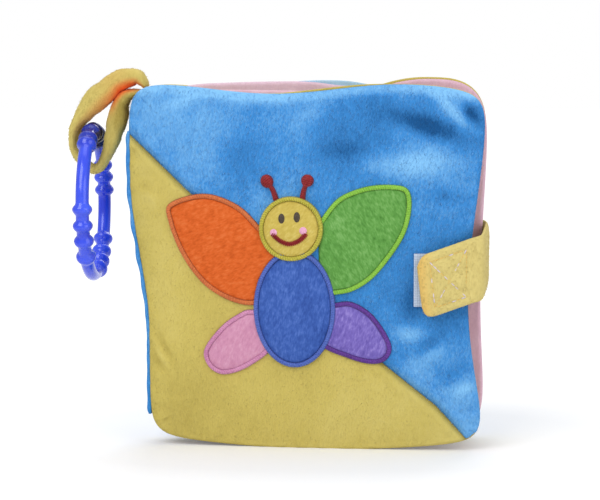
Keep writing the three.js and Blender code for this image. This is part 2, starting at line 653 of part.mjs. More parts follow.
// Loop strap: a padded band, narrow and flat at its sewn ends
const loopCurve = new THREE.CatmullRomCurve3(
  loopShares.map(([out, down]) => new THREE.Vector3(-out * loopReach, 0, coverHeight - down * loopDrop)));
const acrossBook = new THREE.Vector3(0, 1, 0);
const strapFrames = Array.from({ length: strapSteps + 1 }, (_, i) => {
  const share = i / strapSteps;
  const place = loopCurve.getUtoTmapping(share) * (loopShares.length - 1);
  const before = Math.min(Math.floor(place), loopShares.length - 2);
  const fullness = THREE.MathUtils.lerp(loopShares[before][2], loopShares[before + 1][2], place - before);
  return {
    centre: loopCurve.getPointAt(share),
    wide: acrossBook,
    thick: new THREE.Vector3().crossVectors(loopCurve.getTangentAt(share), acrossBook),
    halfWidth: THREE.MathUtils.lerp(strapRootWidth, strapWidth, Math.sqrt(Math.sin(Math.PI * share))) / 2,
    halfThickness: (strapThickness * fullness) / 2,
  };
});
add(book, "loop_strap", loft(strapFrames, strapSides, strapSquareness, false), cloth.yellow);

// The ring stands as high in the loop as its ribs let it, a running gap below the strap.
const clearAt = (height) => Math.min(...strapFrames.map(({ centre, halfThickness }) =>
  Math.hypot(centre.x + ringPlane, centre.z - height) - halfThickness - ribRadius));
let tubeHeight = coverHeight - loopDrop * ringStartShare;
while (clearAt(tubeHeight) > seamGap) tubeHeight += seamGap / 10;

// How far the tube swells at an angle round the ring, from 0 between ribs to 1 on a rib.
const ribHalfDeg = THREE.MathUtils.radToDeg(ribHalfLength / ringRadius);
const ribSwell = (degree) => Math.max(0, ...ribDegrees.map((at) => {
  const round = Math.abs(degree - at) % fullTurnDeg;
  const away = Math.min(round, fullTurnDeg - round) / ribHalfDeg;
  return away >= 1 ? 0 : Math.cos((away * Math.PI) / 2) ** ribPower;
}));
const ribStations = ribDegrees.flatMap((at) => ribStationShares.map((share) => at + share * ribHalfDeg));
const stations = ribStations.sort((a, b) => a - b)
  .filter((at, i, all) => i === 0 || at - all[i - 1] > leastStepDeg);
const ringDegrees = stations.flatMap((at, i) => {
  const next = i + 1 < stations.length ? stations[i + 1] : stations[0] + fullTurnDeg;
  const pieces = Math.max(1, Math.round((next - at) / smoothStepDeg));
  return Array.from({ length: pieces }, (_, k) => at + ((next - at) * k) / pieces);
});
const ringAxis = new THREE.Vector3(1, 0, 0);
const ringFrames = ringDegrees.map((degree) => {
  const outward = new THREE.Vector3(0, -Math.sin(rad(degree)), Math.cos(rad(degree)));
  const half = ringTube + (ribRadius - ringTube) * ribSwell(degree);
  return { centre: outward.clone().multiplyScalar(ringRadius), wide: ringAxis, thick: outward,
    halfWidth: half, halfThickness: half };
});
const ring = add(book, "link_ring", loft(ringFrames, ringSides, 2, true), cloth.plastic);
ring.position.set(-ringPlane, 0, tubeHeight - ringRadius);

// The part's origin: on the floor, in the middle of the back cover's standing edge
const footAcross = (boardPoint(0, 0)[0] + boardPoint(1, 0)[0]) / 2;
const foot = onBoard("back_cover", footAcross, -(seamGap + clothThickness) / 2);
book.position.set(-foot.x, -foot.y, 0);

export default book;
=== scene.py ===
"""Dresses the crinkle cloth book: plush covers and pages, a sewn butterfly, a tab, a padded loop and a link ring.

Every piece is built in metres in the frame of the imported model. The four padded boards share one
way of running their edges, so each board has a flat frame of its own: x across from the spine, z up,
and a lift towards the reader. What is sewn on the front cover is laid on the cover's finished surface.
"""

from __future__ import annotations

import json
import logging
import math
import random
from dataclasses import dataclass, field
from enum import Enum
from typing import Callable, Iterable, Sequence

import bmesh
import bpy
import numpy as np
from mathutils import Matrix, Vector
from mathutils.bvhtree import BVHTree

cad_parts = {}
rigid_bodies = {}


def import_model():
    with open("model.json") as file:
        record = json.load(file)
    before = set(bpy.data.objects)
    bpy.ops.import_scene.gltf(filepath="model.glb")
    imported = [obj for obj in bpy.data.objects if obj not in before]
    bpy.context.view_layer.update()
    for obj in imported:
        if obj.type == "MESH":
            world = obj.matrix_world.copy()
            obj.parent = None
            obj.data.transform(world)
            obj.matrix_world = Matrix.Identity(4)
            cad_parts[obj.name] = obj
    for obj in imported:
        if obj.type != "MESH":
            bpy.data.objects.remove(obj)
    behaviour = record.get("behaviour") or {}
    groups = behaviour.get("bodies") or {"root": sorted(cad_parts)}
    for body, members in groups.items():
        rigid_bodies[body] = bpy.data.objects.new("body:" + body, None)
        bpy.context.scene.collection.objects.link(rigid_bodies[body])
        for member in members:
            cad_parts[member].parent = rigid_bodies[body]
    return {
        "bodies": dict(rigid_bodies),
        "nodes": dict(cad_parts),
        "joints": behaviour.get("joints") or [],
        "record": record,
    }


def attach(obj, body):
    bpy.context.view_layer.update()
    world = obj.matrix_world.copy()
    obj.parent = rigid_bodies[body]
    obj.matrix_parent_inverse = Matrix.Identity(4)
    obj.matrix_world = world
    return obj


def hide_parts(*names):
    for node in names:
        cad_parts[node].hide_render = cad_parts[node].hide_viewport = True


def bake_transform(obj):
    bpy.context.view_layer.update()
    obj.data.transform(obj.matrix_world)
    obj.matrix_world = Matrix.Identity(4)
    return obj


LOG = logging.getLogger("cloth_book")
MM = 0.001
WIDTH, HEIGHT = 160.0, 163.0
PITCH = 4.5  # from board to board at the spine
CRESTS = (0.06, 0.76)  # shares of the width where a cover's wavy top stands highest
Colour = tuple[float, float, float]


def srgb(red: int, green: int, blue: int) -> Colour:
    """Returns the linear colour of three display values from 0 to 255."""
    shares = [v / 255 for v in (red, green, blue)]
    return tuple(s / 12.92 if s <= 0.04045 else ((s + 0.055) / 1.055) ** 2.4 for s in shares)


def mixed(first: Colour, second: Colour, share: float) -> Colour:
    """Returns the colour that lies a share of the way from the first to the second."""
    return tuple(a + (b - a) * share for a, b in zip(first, second))


# Shader expressions


class Value:
    """A socket of a node tree that can be used in a sum."""

    def __init__(self, recipe: "Recipe", socket: bpy.types.NodeSocket) -> None:
        """Wraps a socket.

        Args:
            recipe: The material that the socket belongs to.
            socket: The output that carries the value.
        """
        self.recipe = recipe
        self.socket = socket

    def _math(self, operation: str, first: object, second: object) -> "Value":
        """Returns the result of one Math node on two values."""
        node = self.recipe.node("ShaderNodeMath", {"operation": operation}, {0: first, 1: second})
        return Value(self.recipe, node.outputs[0])

    def __add__(self, other: object) -> "Value":
        """Returns self + other."""
        return self._math("ADD", self, other)

    __radd__ = __add__

    def __mul__(self, other: object) -> "Value":
        """Returns self * other."""
        return self._math("MULTIPLY", self, other)

    __rmul__ = __mul__

    def __sub__(self, other: object) -> "Value":
        """Returns self - other."""
        return self._math("SUBTRACT", self, other)

    def __rsub__(self, other: object) -> "Value":
        """Returns other - self."""
        return self._math("SUBTRACT", other, self)


class Recipe:
    """A material and the one way in which its nodes are made."""

    def __init__(self, name: str) -> None:
        """Starts an empty material.

        Args:
            name: The name of the material.
        """
        self.material = bpy.data.materials.new(name)
        self.material.use_nodes = True
        self.tree = self.material.node_tree
        self.tree.nodes.clear()
        self.coords = self.node("ShaderNodeTexCoord").outputs["Object"]

    def node(self, kind: str, settings: dict | None = None, inputs: dict | None = None) -> bpy.types.Node:
        """Makes a node.

        Args:
            kind: The node's type.
            settings: Its properties, set first. "stops" is a ramp's list of (place, colour).
            inputs: Socket names or numbers with the values, sockets or Values that feed them.

        Returns:
            The node.
        """
        node = self.tree.nodes.new(kind)
        for key, setting in (settings or {}).items():
            if key == "stops":
                stops = node.color_ramp.elements
                while len(stops) < len(setting):
                    stops.new(1.0)
                for stop, (place, colour) in zip(stops, setting):
                    stop.position = place
                    stop.color = (*colour, 1.0)
            else:
                setattr(node, key, setting)
        for key, given in (inputs or {}).items():
            socket = node.inputs[key]
            if isinstance(given, Value):
                given = given.socket
            if isinstance(given, bpy.types.NodeSocket):
                self.tree.links.new(given, socket)
            elif isinstance(given, tuple) and socket.type == "RGBA":
                socket.default_value = (*given, 1.0)
            else:
                socket.default_value = given
        return node

    def noise(self, scale: float, detail: float = 2.0, stretch: tuple = (1, 1, 1), turn: tuple = (0, 0, 0)) -> Value:
        """Returns noise from 0 to 1 over the piece.

        Args:
            scale: Features per metre.
            detail: Octaves.
            stretch: How far the pattern is drawn out along each axis.
            turn: Rotation of the pattern in radians.
        """
        settings = {"vector_type": "TEXTURE"}
        inputs = {"Vector": self.coords, "Rotation": turn, "Scale": stretch}
        mapping = self.node("ShaderNodeMapping", settings, inputs)
        node = self.node("ShaderNodeTexNoise", None, {"Vector": mapping.outputs[0], "Scale": scale, "Detail": detail})
        return Value(self, node.outputs[0])

    def told(self, name: str) -> Value:
        """Returns the piece's own value of this name, which is zero where it has none."""
        return Value(self, self.node("ShaderNodeAttribute", {"attribute_name": name}).outputs["Fac"])

    def ramp(self, factor: Value, stops: list) -> bpy.types.NodeSocket:
        """Returns the colour that a ramp gives for a factor."""
        return self.node("ShaderNodeValToRGB", {"stops": stops}, {0: factor}).outputs[0]

    def mix(self, factor: object, first: object, second: object) -> bpy.types.NodeSocket:
        """Returns a mix of two colours."""
        node = self.node("ShaderNodeMix", {"data_type": "RGBA"}, {0: factor, 6: first, 7: second})
        return node.outputs[2]

    def bump(self, height: Value, distance: float, strength: float) -> bpy.types.NodeSocket:
        """Returns the normal of a bumped surface, from a height and its size in metres."""
        inputs = {"Height": height, "Distance": distance, "Strength": strength}
        return self.node("ShaderNodeBump", None, inputs).outputs[0]

    def finish(self, inputs: dict) -> bpy.types.Material:
        """Closes the material with a Principled shader and returns it."""
        shader = self.node("ShaderNodeBsdfPrincipled", None, inputs)
        self.node("ShaderNodeOutputMaterial", None, {"Surface": shader.outputs[0]})
        return self.material


# Finishes


@dataclass(frozen=True)
class Plush:
    """Short-pile cloth: swathes of lighter and darker pile, fine fibres, painted shade and highlights, a warm tint, and
    darker painted shade along seams and rims.
    """

    name: str
    dark: Colour
    middle: Colour
    light: Colour
    warm_tint: Colour = (0.7, 0.16, 0.03)
    patch_scale: float = 22.0
    patch_share: float = 0.9
    clump_scale: float = 260.0
    clump_share: float = 0.24
    fibre_share: float = 0.32
    nap_turn: float = 0.15
    pile_depth: float = 0.5 * MM
    sheen: float = 0.14

    def material(self) -> bpy.types.Material:
        """Returns the cloth's material."""
        recipe = Recipe(self.name)
        turn = (0.0, self.nap_turn, 0.0)
        patches = recipe.noise(self.patch_scale, 2.0, (1, 1, 1.2), turn)
        clumps = recipe.noise(self.clump_scale, 3.0, (1, 1, 1.8), turn)
        fibres = recipe.noise(1500.0, 2.0, (1, 1, 2.6), turn)
        # The attribute read here brings swathes of pile, painted shade and painted highlights into the tone.
        shade = (0.5 + recipe.told("nap") * 0.4 + (patches - 0.5) * self.patch_share
                 + (clumps - 0.5) * self.clump_share + (fibres - 0.5) * self.fibre_share)
        pile = recipe.ramp(shade, [(0.1, self.dark), (0.5, self.middle), (0.9, self.light)])
        # A warm tint where the piece asks for it; on the loop this is painted warm reflection in its crease.
        warmed = recipe.mix(recipe.told("warm"), pile, self.warm_tint)
        # Painted shade along the seam and round sewn-on patches.
        colour = recipe.mix(recipe.told("edge"), warmed, mixed(self.dark, (0, 0, 0), 0.55))
        return recipe.finish({
            "Base Color": colour,
            "Roughness": 0.92,
            "Specular IOR Level": 0.1,
            "Sheen Weight": self.sheen,
            "Sheen Roughness": 0.45,
            "Sheen Tint": mixed(self.light, (1.0, 1.0, 1.0), 0.3),
            "Normal": recipe.bump(clumps * 0.5 + fibres * 0.5, self.pile_depth, 0.7),
        })


@dataclass(frozen=True)
class Thread:
    """Embroidery thread: fine strands with a soft shine, darker at a band's edges, where the needle pulls them in and
    painted shade falls, and with painted shade between the threads.
    """

    name: str
    dark: Colour
    light: Colour
    shine: float = 0.4

    def material(self) -> bpy.types.Material:
        """Returns the thread's material."""
        recipe = Recipe(self.name)
        strands = recipe.noise(1500.0, 2.0)
        tone = recipe.noise(90.0, 2.0)
        shade = 0.5 + (strands - 0.5) * 0.8 + (tone - 0.5) * 0.5
        lit = recipe.ramp(shade, [(0.2, self.dark), (0.75, self.light)])
        return recipe.finish({
            "Base Color": recipe.mix(recipe.told("edge"), lit, mixed(self.dark, (0, 0, 0), 0.6)),
            "Roughness": 0.55,
            "Specular IOR Level": self.shine,
            "Sheen Weight": 0.12,
            "Normal": recipe.bump(strands, 0.25 * MM, 0.5),
        })


@dataclass(frozen=True)
class Moulded:
    """Glossy moulded plastic with the slight ripple of a cooled surface."""

    name: str
    deep: Colour
    bright: Colour
    shadow: Colour

    def material(self) -> bpy.types.Material:
        """Returns the plastic's material."""
        recipe = Recipe(self.name)
        tone = recipe.noise(60.0, 2.0)
        ripple = recipe.noise(180.0, 1.0)
        plain = recipe.ramp(tone, [(0.35, self.deep), (0.7, self.bright)])
        return recipe.finish({
            "Base Color": recipe.mix(recipe.told("shadow"), plain, self.shadow),
            "Roughness": 0.12 + ripple * 0.12,
            "Specular IOR Level": 0.5,
            "Coat Weight": 0.25,
            "Coat Roughness": 0.08,
            "Normal": recipe.bump(ripple, 0.08 * MM, 0.4),
        })


@dataclass(frozen=True)
class Film:
    """Thin crackling film, creased all over."""

    name: str
    tint: Colour

    def material(self) -> bpy.types.Material:
        """Returns the film's material."""
        recipe = Recipe(self.name)
        creases = recipe.noise(130.0, 5.0)
        return recipe.finish({
            "Base Color": recipe.ramp(creases, [(0.3, mixed(self.tint, (0, 0, 0), 0.2)), (0.7, self.tint)]),
            "Roughness": 0.15 + creases * 0.2,
            "Normal": recipe.bump(creases, 0.5 * MM, 0.7),
        })


@dataclass(frozen=True)
class Woven:
    """Plain woven tape or fibre wadding, with a fine grid of threads."""

    name: str
    tint: Colour
    pitch: float = 1.1 * MM

    def material(self) -> bpy.types.Material:
        """Returns the woven cloth's material."""
        recipe = Recipe(self.name)
        threads = []
        for way in ("Z", "X"):
            settings = {"bands_direction": way, "wave_type": "BANDS"}
            wave = recipe.node("ShaderNodeTexWave", settings, {"Vector": recipe.coords, "Scale": 0.32 / self.pitch})
            threads.append(Value(recipe, wave.outputs[1]) * 0.3)
        shade = threads[0] + threads[1] + recipe.noise(900.0, 3.0) * 0.4
        return recipe.finish({
            "Base Color": recipe.ramp(shade, [(0.15, mixed(self.tint, (0, 0, 0), 0.25)), (0.7, self.tint)]),
            "Roughness": 0.9,
            "Specular IOR Level": 0.2,
            "Normal": recipe.bump(shade, 0.4 * MM, 0.6),
        })


def velour(name: str, dark: Colour, middle: Colour, light: Colour, turn: float) -> Plush:
    """Returns the close, mottled cloth of the butterfly."""
    return Plush(name, dark, middle, light, patch_scale=60.0, patch_share=0.3, clump_scale=620.0,
                 clump_share=0.6, fibre_share=0.5, nap_turn=turn, pile_depth=0.45 * MM, sheen=0.1)


def cotton(name: str, dark: Colour, middle: Colour, light: Colour) -> Plush:
    """Returns the smooth cloth of the pages."""
    return Plush(name, dark, middle, light, patch_share=0.4, clump_share=0.25, fibre_share=0.35,
                 pile_depth=0.3 * MM, sheen=0.1)


class Finish(Enum):
    """The finishes of the book, by the piece that wears them."""

    BLUE = Plush("blue_plush", srgb(24, 80, 134), srgb(60, 134, 202), srgb(128, 188, 234),
                 clump_share=0.2, fibre_share=0.42)
    YELLOW = Plush("yellow_plush", srgb(166, 148, 72), srgb(198, 180, 96), srgb(212, 196, 118),
                   patch_share=0.85, clump_share=0.18, fibre_share=0.26)
    TAB_YELLOW = Plush("tab_plush", srgb(178, 160, 96), srgb(212, 194, 122), srgb(226, 210, 146),
                       warm_tint=srgb(232, 172, 76), patch_share=0.4, clump_share=0.2, fibre_share=0.3)
    # Its warm tint is painted warm reflection inside the loop's crease.
    LOOP_YELLOW = Plush("loop_plush", srgb(158, 138, 66), srgb(204, 186, 106), srgb(222, 206, 136),
                        warm_tint=srgb(228, 92, 34), patch_share=0.4, clump_share=0.16, fibre_share=0.24)
    PINK = cotton("pink_cloth", srgb(188, 146, 164), srgb(212, 174, 190), srgb(226, 202, 212))
    ROSE = cotton("rose_cloth", srgb(186, 146, 164), srgb(214, 184, 198), srgb(226, 206, 216))
    SKY = cotton("sky_cloth", srgb(140, 184, 218), srgb(170, 206, 232), srgb(196, 222, 240))
    ORANGE = velour("orange_velour", srgb(168, 66, 20), srgb(210, 96, 40), srgb(228, 130, 74), 1.2)
    GREEN = velour("green_velour", srgb(50, 104, 36), srgb(96, 152, 72), srgb(142, 190, 116), -0.5)
    CANDY = velour("candy_velour", srgb(180, 116, 148), srgb(202, 142, 170), srgb(220, 172, 194), 0.4)
    PURPLE = velour("purple_velour", srgb(74, 60, 142), srgb(119, 103, 181), srgb(170, 154, 220), 0.3)
    ROYAL = velour("royal_velour", srgb(34, 58, 126), srgb(61, 93, 169), srgb(98, 130, 204), 0.2)
    FACE = velour("yellow_velour", srgb(174, 148, 64), srgb(197, 175, 86), srgb(222, 204, 124), 0.8)
    ORANGE_THREAD = Thread("orange_thread", srgb(178, 82, 34), srgb(226, 124, 60))
    LIME_THREAD = Thread("lime_thread", srgb(108, 168, 36), srgb(156, 212, 74))
    CANDY_THREAD = Thread("pink_thread", srgb(190, 112, 158), srgb(224, 160, 194))
    VIOLET_THREAD = Thread("violet_thread", srgb(66, 24, 112), srgb(112, 58, 164))
    ROYAL_THREAD = Thread("royal_thread", srgb(54, 80, 170), srgb(96, 124, 206))
    FACE_THREAD = Thread("yellow_thread", srgb(180, 170, 44), srgb(214, 204, 84))
    RED_THREAD = Thread("red_thread", srgb(112, 10, 14), srgb(172, 26, 30))
    DARK_THREAD = Thread("dark_thread", srgb(34, 26, 22), srgb(92, 76, 56))
    CHEEK_THREAD = Thread("cheek_thread", srgb(214, 130, 172), srgb(236, 186, 208))
    LILAC_THREAD = Thread("lilac_thread", srgb(196, 182, 196), srgb(226, 214, 222))
    GOLD_THREAD = Thread("gold_thread", srgb(204, 168, 84), srgb(226, 190, 104))
    RING = Moulded("blue_ring", srgb(38, 60, 212), srgb(66, 94, 240), srgb(8, 8, 34))
    FILM = Film("crinkle_film", srgb(214, 220, 226))
    WADDING = Woven("wadding", srgb(236, 234, 228), 3 * MM)
    TAPE = Woven("hook_and_loop", srgb(190, 202, 222))


class Wardrobe:
    """Makes each finish once and puts it on pieces."""

    def __init__(self) -> None:
        """Starts with no material made."""
        self.made: dict[Finish, bpy.types.Material] = {}

    def dress(self, piece: bpy.types.Object, finish: Finish) -> bpy.types.Object:
        """Gives a piece one finish and returns it."""
        if finish not in self.made:
            self.made[finish] = finish.value.material()
        piece.data.materials.clear()
        piece.data.materials.append(self.made[finish])
        return piece


# Meshes


def new_piece(name: str, points: np.ndarray, faces: Iterable[Sequence[int]],
              told: dict[str, np.ndarray] | None = None) -> bpy.types.Object:
    """Makes a closed smooth mesh at the world origin with its faces turned outwards.

    Args:
        name: The piece's name.
        points: Its vertices in metres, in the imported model's frame.
        faces: Lists of vertex numbers.
        told: Values for its material at each vertex, by name.

    Returns:
        The new object.
    """
    mesh = bpy.data.meshes.new(name)
    mesh.from_pydata(np.asarray(points).tolist(), [], [tuple(f) for f in faces])
    shape = bmesh.new()
    shape.from_mesh(mesh)
    bmesh.ops.recalc_face_normals(shape, faces=shape.faces)
    shape.to_mesh(mesh)
    shape.free()
    mesh.polygons.foreach_set("use_smooth", [True] * len(mesh.polygons))
    for key, values in (told or {}).items():
        layer = mesh.attributes.new(key, "FLOAT", "POINT")
        layer.data.foreach_set("value", np.asarray(values, np.float32).reshape(-1))
    piece = bpy.data.objects.new(name, mesh)
    bpy.context.scene.collection.objects.link(piece)
    return piece


def grid_faces(rows: int, columns: int, first: int = 0, closed: bool = False) -> list[tuple[int, ...]]:
    """Returns the quads of a grid of vertices.

    Args:
        rows: Rows of vertices.
        columns: Vertices in a row.
        first: Number of the first vertex.
        closed: Whether each row closes on itself.
    """
    span = columns if closed else columns - 1
    return [
        (first + r * columns + c, first + r * columns + (c + 1) % columns,
         first + (r + 1) * columns + (c + 1) % columns, first + (r + 1) * columns + c)
        for r in range(rows - 1) for c in range(span)
    ]


def slab(outer: np.ndarray, inner: np.ndarray) -> tuple[np.ndarray, list]:
    """Closes two sheets of one grid into a solid.

    Args:
        outer: Points of the outer sheet, rows by columns by three.
        inner: The same for the inner sheet.

    Returns:
        The points and the faces.
    """
    rows, columns, _ = outer.shape
    count = rows * columns
    points = np.concatenate([outer.reshape(-1, 3), inner.reshape(-1, 3)])
    faces = grid_faces(rows, columns) + [tuple(reversed(f)) for f in grid_faces(rows, columns, count)]
    rim = [(0, c) for c in range(columns)] + [(r, columns - 1) for r in range(1, rows)]
    rim += [(rows - 1, c) for c in range(columns - 2, -1, -1)] + [(r, 0) for r in range(rows - 2, 0, -1)]
    line = [r * columns + c for r, c in rim]
    for here, there in zip(line, line[1:] + line[:1]):
        faces.append((here, here + count, there + count, there))
    return points, faces


def tube(sections: np.ndarray, closed: bool) -> tuple[np.ndarray, list]:
    """Joins a row of closed sections into a solid, with flat ends unless the row is closed.

    Args:
        sections: Sections by points by three.
        closed: Whether the last section joins the first.
    """
    count, sides, _ = sections.shape
    faces = grid_faces(count, sides, 0, True)
    if closed:
        last = (count - 1) * sides
        faces += [(last + i, last + (i + 1) % sides, (i + 1) % sides, i) for i in range(sides)]
    else:
        faces += [tuple(range(sides)), tuple(reversed(range((count - 1) * sides, count * sides)))]
    return sections.reshape(-1, 3), faces


def smooth_curve(points: Sequence[Sequence[float]], count: int, closed: bool = False) -> np.ndarray:
    """Returns evenly spaced points of a Catmull-Rom curve through the given ones."""
    given = np.asarray(points, float)
    total = len(given)
    padded = (np.concatenate([given[-1:], given, given[:2]]) if closed
              else np.concatenate([[2 * given[0] - given[1]], given, [2 * given[-1] - given[-2]]]))
    fine = []
    for k in range(total if closed else total - 1):
        a, b, c, d = padded[k:k + 4]
        for t in np.linspace(0, 1, 24, endpoint=False):
            fine.append(0.5 * (2 * b + (c - a) * t + (2 * a - 5 * b + 4 * c - d) * t ** 2
                               + (3 * b - a - 3 * c + d) * t ** 3))
    fine.append(given[0] if closed else given[-1])
    fine = np.array(fine)
    steps = np.linalg.norm(np.diff(fine[:, :2], axis=0), axis=1)
    run = np.concatenate([[0], np.cumsum(steps)])
    places = np.linspace(0, run[-1], count + 1)[:-1] if closed else np.linspace(0, run[-1], count)
    return np.stack([np.interp(places, run, fine[:, i]) for i in range(fine.shape[1])], axis=1)


def ripples(x: np.ndarray, z: np.ndarray, length: float, seed: int, waves: int = 7) -> np.ndarray:
    """Returns smooth random ripples of about unit height over a plane.

    Args:
        x: Places across.
        z: Places up.
        length: The usual distance from crest to crest.
        seed: Choice of the ripples.
        waves: How many plane waves are added.
    """
    chance = random.Random(seed)
    total = np.zeros_like(x)
    for _ in range(waves):
        angle = chance.uniform(0, 2 * math.pi)
        step = 2 * math.pi / (length * chance.uniform(0.7, 1.5))
        phase = chance.uniform(0, 2 * math.pi)
        total += np.cos(step * (x * math.cos(angle) + z * math.sin(angle)) + phase)
    return total / math.sqrt(waves)


def hill(place: np.ndarray, middle: float, width: float) -> np.ndarray:
    """Returns a soft hill that is 1 at its middle and falls away within its width."""
    return np.exp(-((place - middle) / width) ** 2)


def inside_outline(points: np.ndarray, outline: np.ndarray) -> np.ndarray:
    """Tells which points of a plane lie inside a closed outline."""
    found = np.zeros(len(points), bool)
    for (ax, az), (bx, bz) in zip(outline, np.roll(outline, -1, 0)):
        if az != bz:
            crossed = (az > points[:, 1]) != (bz > points[:, 1])
            found ^= crossed & (points[:, 0] < ax + (points[:, 1] - az) * (bx - ax) / (bz - az))
    return found


def grid_normals(grid: np.ndarray) -> np.ndarray:
    """Returns the unit normals of a grid of points."""
    normals = np.cross(np.gradient(grid, axis=1), np.gradient(grid, axis=0))
    return normals / np.maximum(np.linalg.norm(normals, axis=-1, keepdims=True), 1e-9)


@dataclass(frozen=True)
class Pile:
    """Short fibres that lie on a cloth, each a thin closed spike, in millimetres."""

    density: float
    length: float = 1.3
    width: float = 0.08
    stand: float = 0.2
    spread: float = 0.3

    def grow(self, grid: np.ndarray, normals: np.ndarray, ways: np.ndarray, seed: int,
             bare: Callable[[np.ndarray], np.ndarray] | None = None) -> tuple[np.ndarray, np.ndarray, np.ndarray]:
        """Scatters fibres evenly over a grid of points.

        Args:
            grid: The cloth's surface, rows by columns by three.
            normals: Its outward normals.
            ways: The direction in which the nap lies at each point.
            seed: Choice of the fibres.
            bare: Tells which places are left without fibres.

        Returns:
            The points, the faces, and the row and column that each fibre stands at.
        """
        chance = np.random.default_rng(seed)
        across = grid[:-1, 1:] - grid[:-1, :-1]
        along = grid[1:, :-1] - grid[:-1, :-1]
        areas = np.linalg.norm(np.cross(across, along), axis=2)
        count = int(areas.sum() * self.density)
        cells = chance.choice(areas.size, count, p=(areas / areas.sum()).reshape(-1))
        row = cells // areas.shape[1] + chance.random(count)
        column = cells % areas.shape[1] + chance.random(count)
        root = self.between(grid, row, column)
        if bare is not None:
            kept = ~bare(root)
            row, column, root = row[kept], column[kept], root[kept]
        out = self.between(normals, row, column)
        way = self.between(ways, row, column)
        side = np.cross(out, way)
        turn = chance.normal(0, self.spread, len(root))[:, None]
        way = way * np.cos(turn) + side * np.sin(turn)
        way -= out * np.sum(way * out, axis=1, keepdims=True)
        way /= np.maximum(np.linalg.norm(way, axis=1, keepdims=True), 1e-9)
        lift = (self.stand * chance.uniform(0.4, 1.5, len(root)))[:, None]
        axis = way * np.cos(lift) + out * np.sin(lift)
        tip = root + axis * (self.length * chance.uniform(0.6, 1.3, len(root)))[:, None]
        side = np.cross(out, way) * self.width
        base = root - out * self.width * 0.4
        points = np.stack([base + side, base - side, base + out * self.width, tip], axis=1)
        first = 4 * np.arange(len(root))[:, None, None]
        faces = (first + np.array([[0, 2, 1], [0, 1, 3], [1, 2, 3], [2, 0, 3]])).reshape(-1, 3)
        return points.reshape(-1, 3), faces, np.repeat(np.stack([row, column], axis=1), 4, axis=0)

    @staticmethod
    def between(grid: np.ndarray, row: np.ndarray, column: np.ndarray) -> np.ndarray:
        """Reads a grid at places between its points."""
        r = np.minimum(row.astype(int), grid.shape[0] - 2)
        c = np.minimum(column.astype(int), grid.shape[1] - 2)
        shape = (-1,) + (1,) * (grid.ndim - 2)
        u, v = (row - r).reshape(shape), (column - c).reshape(shape)
        return (grid[r, c] * (1 - u) * (1 - v) + grid[r + 1, c] * u * (1 - v)
                + grid[r, c + 1] * (1 - u) * v + grid[r + 1, c + 1] * u * v)


# Boards


@dataclass(frozen=True)
class Stroke:
    """A soft mark on a face: a short fold pressed into it, a swathe of combed pile, painted shade, or a painted
    highlight.
    """

    across: float
    up: float
    length: float
    width: float
    amount: float
    turn: float

    def at(self, x: np.ndarray, z: np.ndarray) -> np.ndarray:
        """Returns how strong the mark is at each place."""
        along = (x - self.across) * math.cos(self.turn) + (z - self.up) * math.sin(self.turn)
        aside = (z - self.up) * math.cos(self.turn) - (x - self.across) * math.sin(self.turn)
        return self.amount * np.exp(-(along / self.length) ** 2 - (aside / self.width) ** 2)


@dataclass(frozen=True)
class Face:
    """One side of a board: its padding, its puckers, its folds, and its swathes of pile with painted shade and
    highlights, in millimetres.
    """

    rise: float
    pucker: float = 0.5
    swell: float = 0.5
    seed: int = 1
    folds: tuple[Stroke, ...] = ()
    nap: tuple[Stroke, ...] = ()
    crest: tuple[tuple[float, float], ...] = ((0.0, 0.0),)
    # Strength of a painted highlight below the top edge, with painted shade half as strong along the spine.
    rim: float = 0.0
    calm: bool = False
    # Painted shade in fold hollows, then where the painted highlight below the top edge and the painted shade along the
    # spine lie.
    hollow_shade: float = 0.45
    glow_below_top: float = 1.5
    glow_width: float = 2.6
    spine_shade_width: float = 3.2
    spine_shade_top: float = 135.0

    def brushed_and_shaded(self, x: np.ndarray, z: np.ndarray) -> np.ndarray:
        """Returns the tone painted at each place: swathes of pile, painted shade in the fold hollows, a painted
        highlight below the top edge and painted shade along the spine.
        """
        light = sum((s.at(x, z) for s in self.nap), np.zeros(x.shape))
        # Painted shade in the fold hollows.
        light = light - self.hollow_shade * sum((f.at(x, z) for f in self.folds), np.zeros(x.shape))
        top = HEIGHT - Form.COVER.value.dip * swing(x / WIDTH, *CRESTS)
        # Painted highlight just below the top edge.
        light = light + self.rim * hill(top - self.glow_below_top - z, 0, self.glow_width)
        from_spine = x - spine_edge(z / HEIGHT)
        # Painted shade along the sewn spine edge, below a height.
        return light - 0.5 * self.rim * hill(from_spine, 0, self.spine_shade_width) * (z < self.spine_shade_top)

    def top(self, across: np.ndarray) -> np.ndarray:
        """Returns how far the top edge of this side stands over the board's own, in millimetres."""
        places, heights = zip(*self.crest)
        near = [np.interp(across + step, places, heights) for step in (-0.04, -0.02, 0.0, 0.02, 0.04)]
        return sum(near) / len(near)


@dataclass(frozen=True)
class Edges:
    """How the edges of a board run, in millimetres."""

    squareness: float
    overhang: float
    draw_in: float
    dip: float


class Form(Enum):
    """The two kinds of board."""

    COVER = Edges(14.0, 0.0, 7.5, 4.2)
    PAGE = Edges(9.0, 1.0, 3.0, 0.0)


def swing(share: np.ndarray, first: float, second: float) -> np.ndarray:
    """Returns an even swing from 0 to 1 and back between two places where it is 0."""
    return np.sin(math.pi * (share - first) / (second - first)) ** 2


def spine_edge(up: np.ndarray, inset: float = 0.3, slant: float = 8.4, low: float = 0.3,
               span: float = 0.45) -> np.ndarray:
    """Returns how far the sewn edge stands in from the hinge axes.

    Args:
        up: Shares of the height.
        inset: How far it stands in at the top, in millimetres.
        slant: How much further it stands in at the foot.
        low: Share of the height where it starts to come out.
        span: Share of the height over which it does.
    """
    share = np.clip((np.asarray(up) - low) / span, 0, 1)
    return inset + slant * (1 - share * share * (3 - 2 * share))


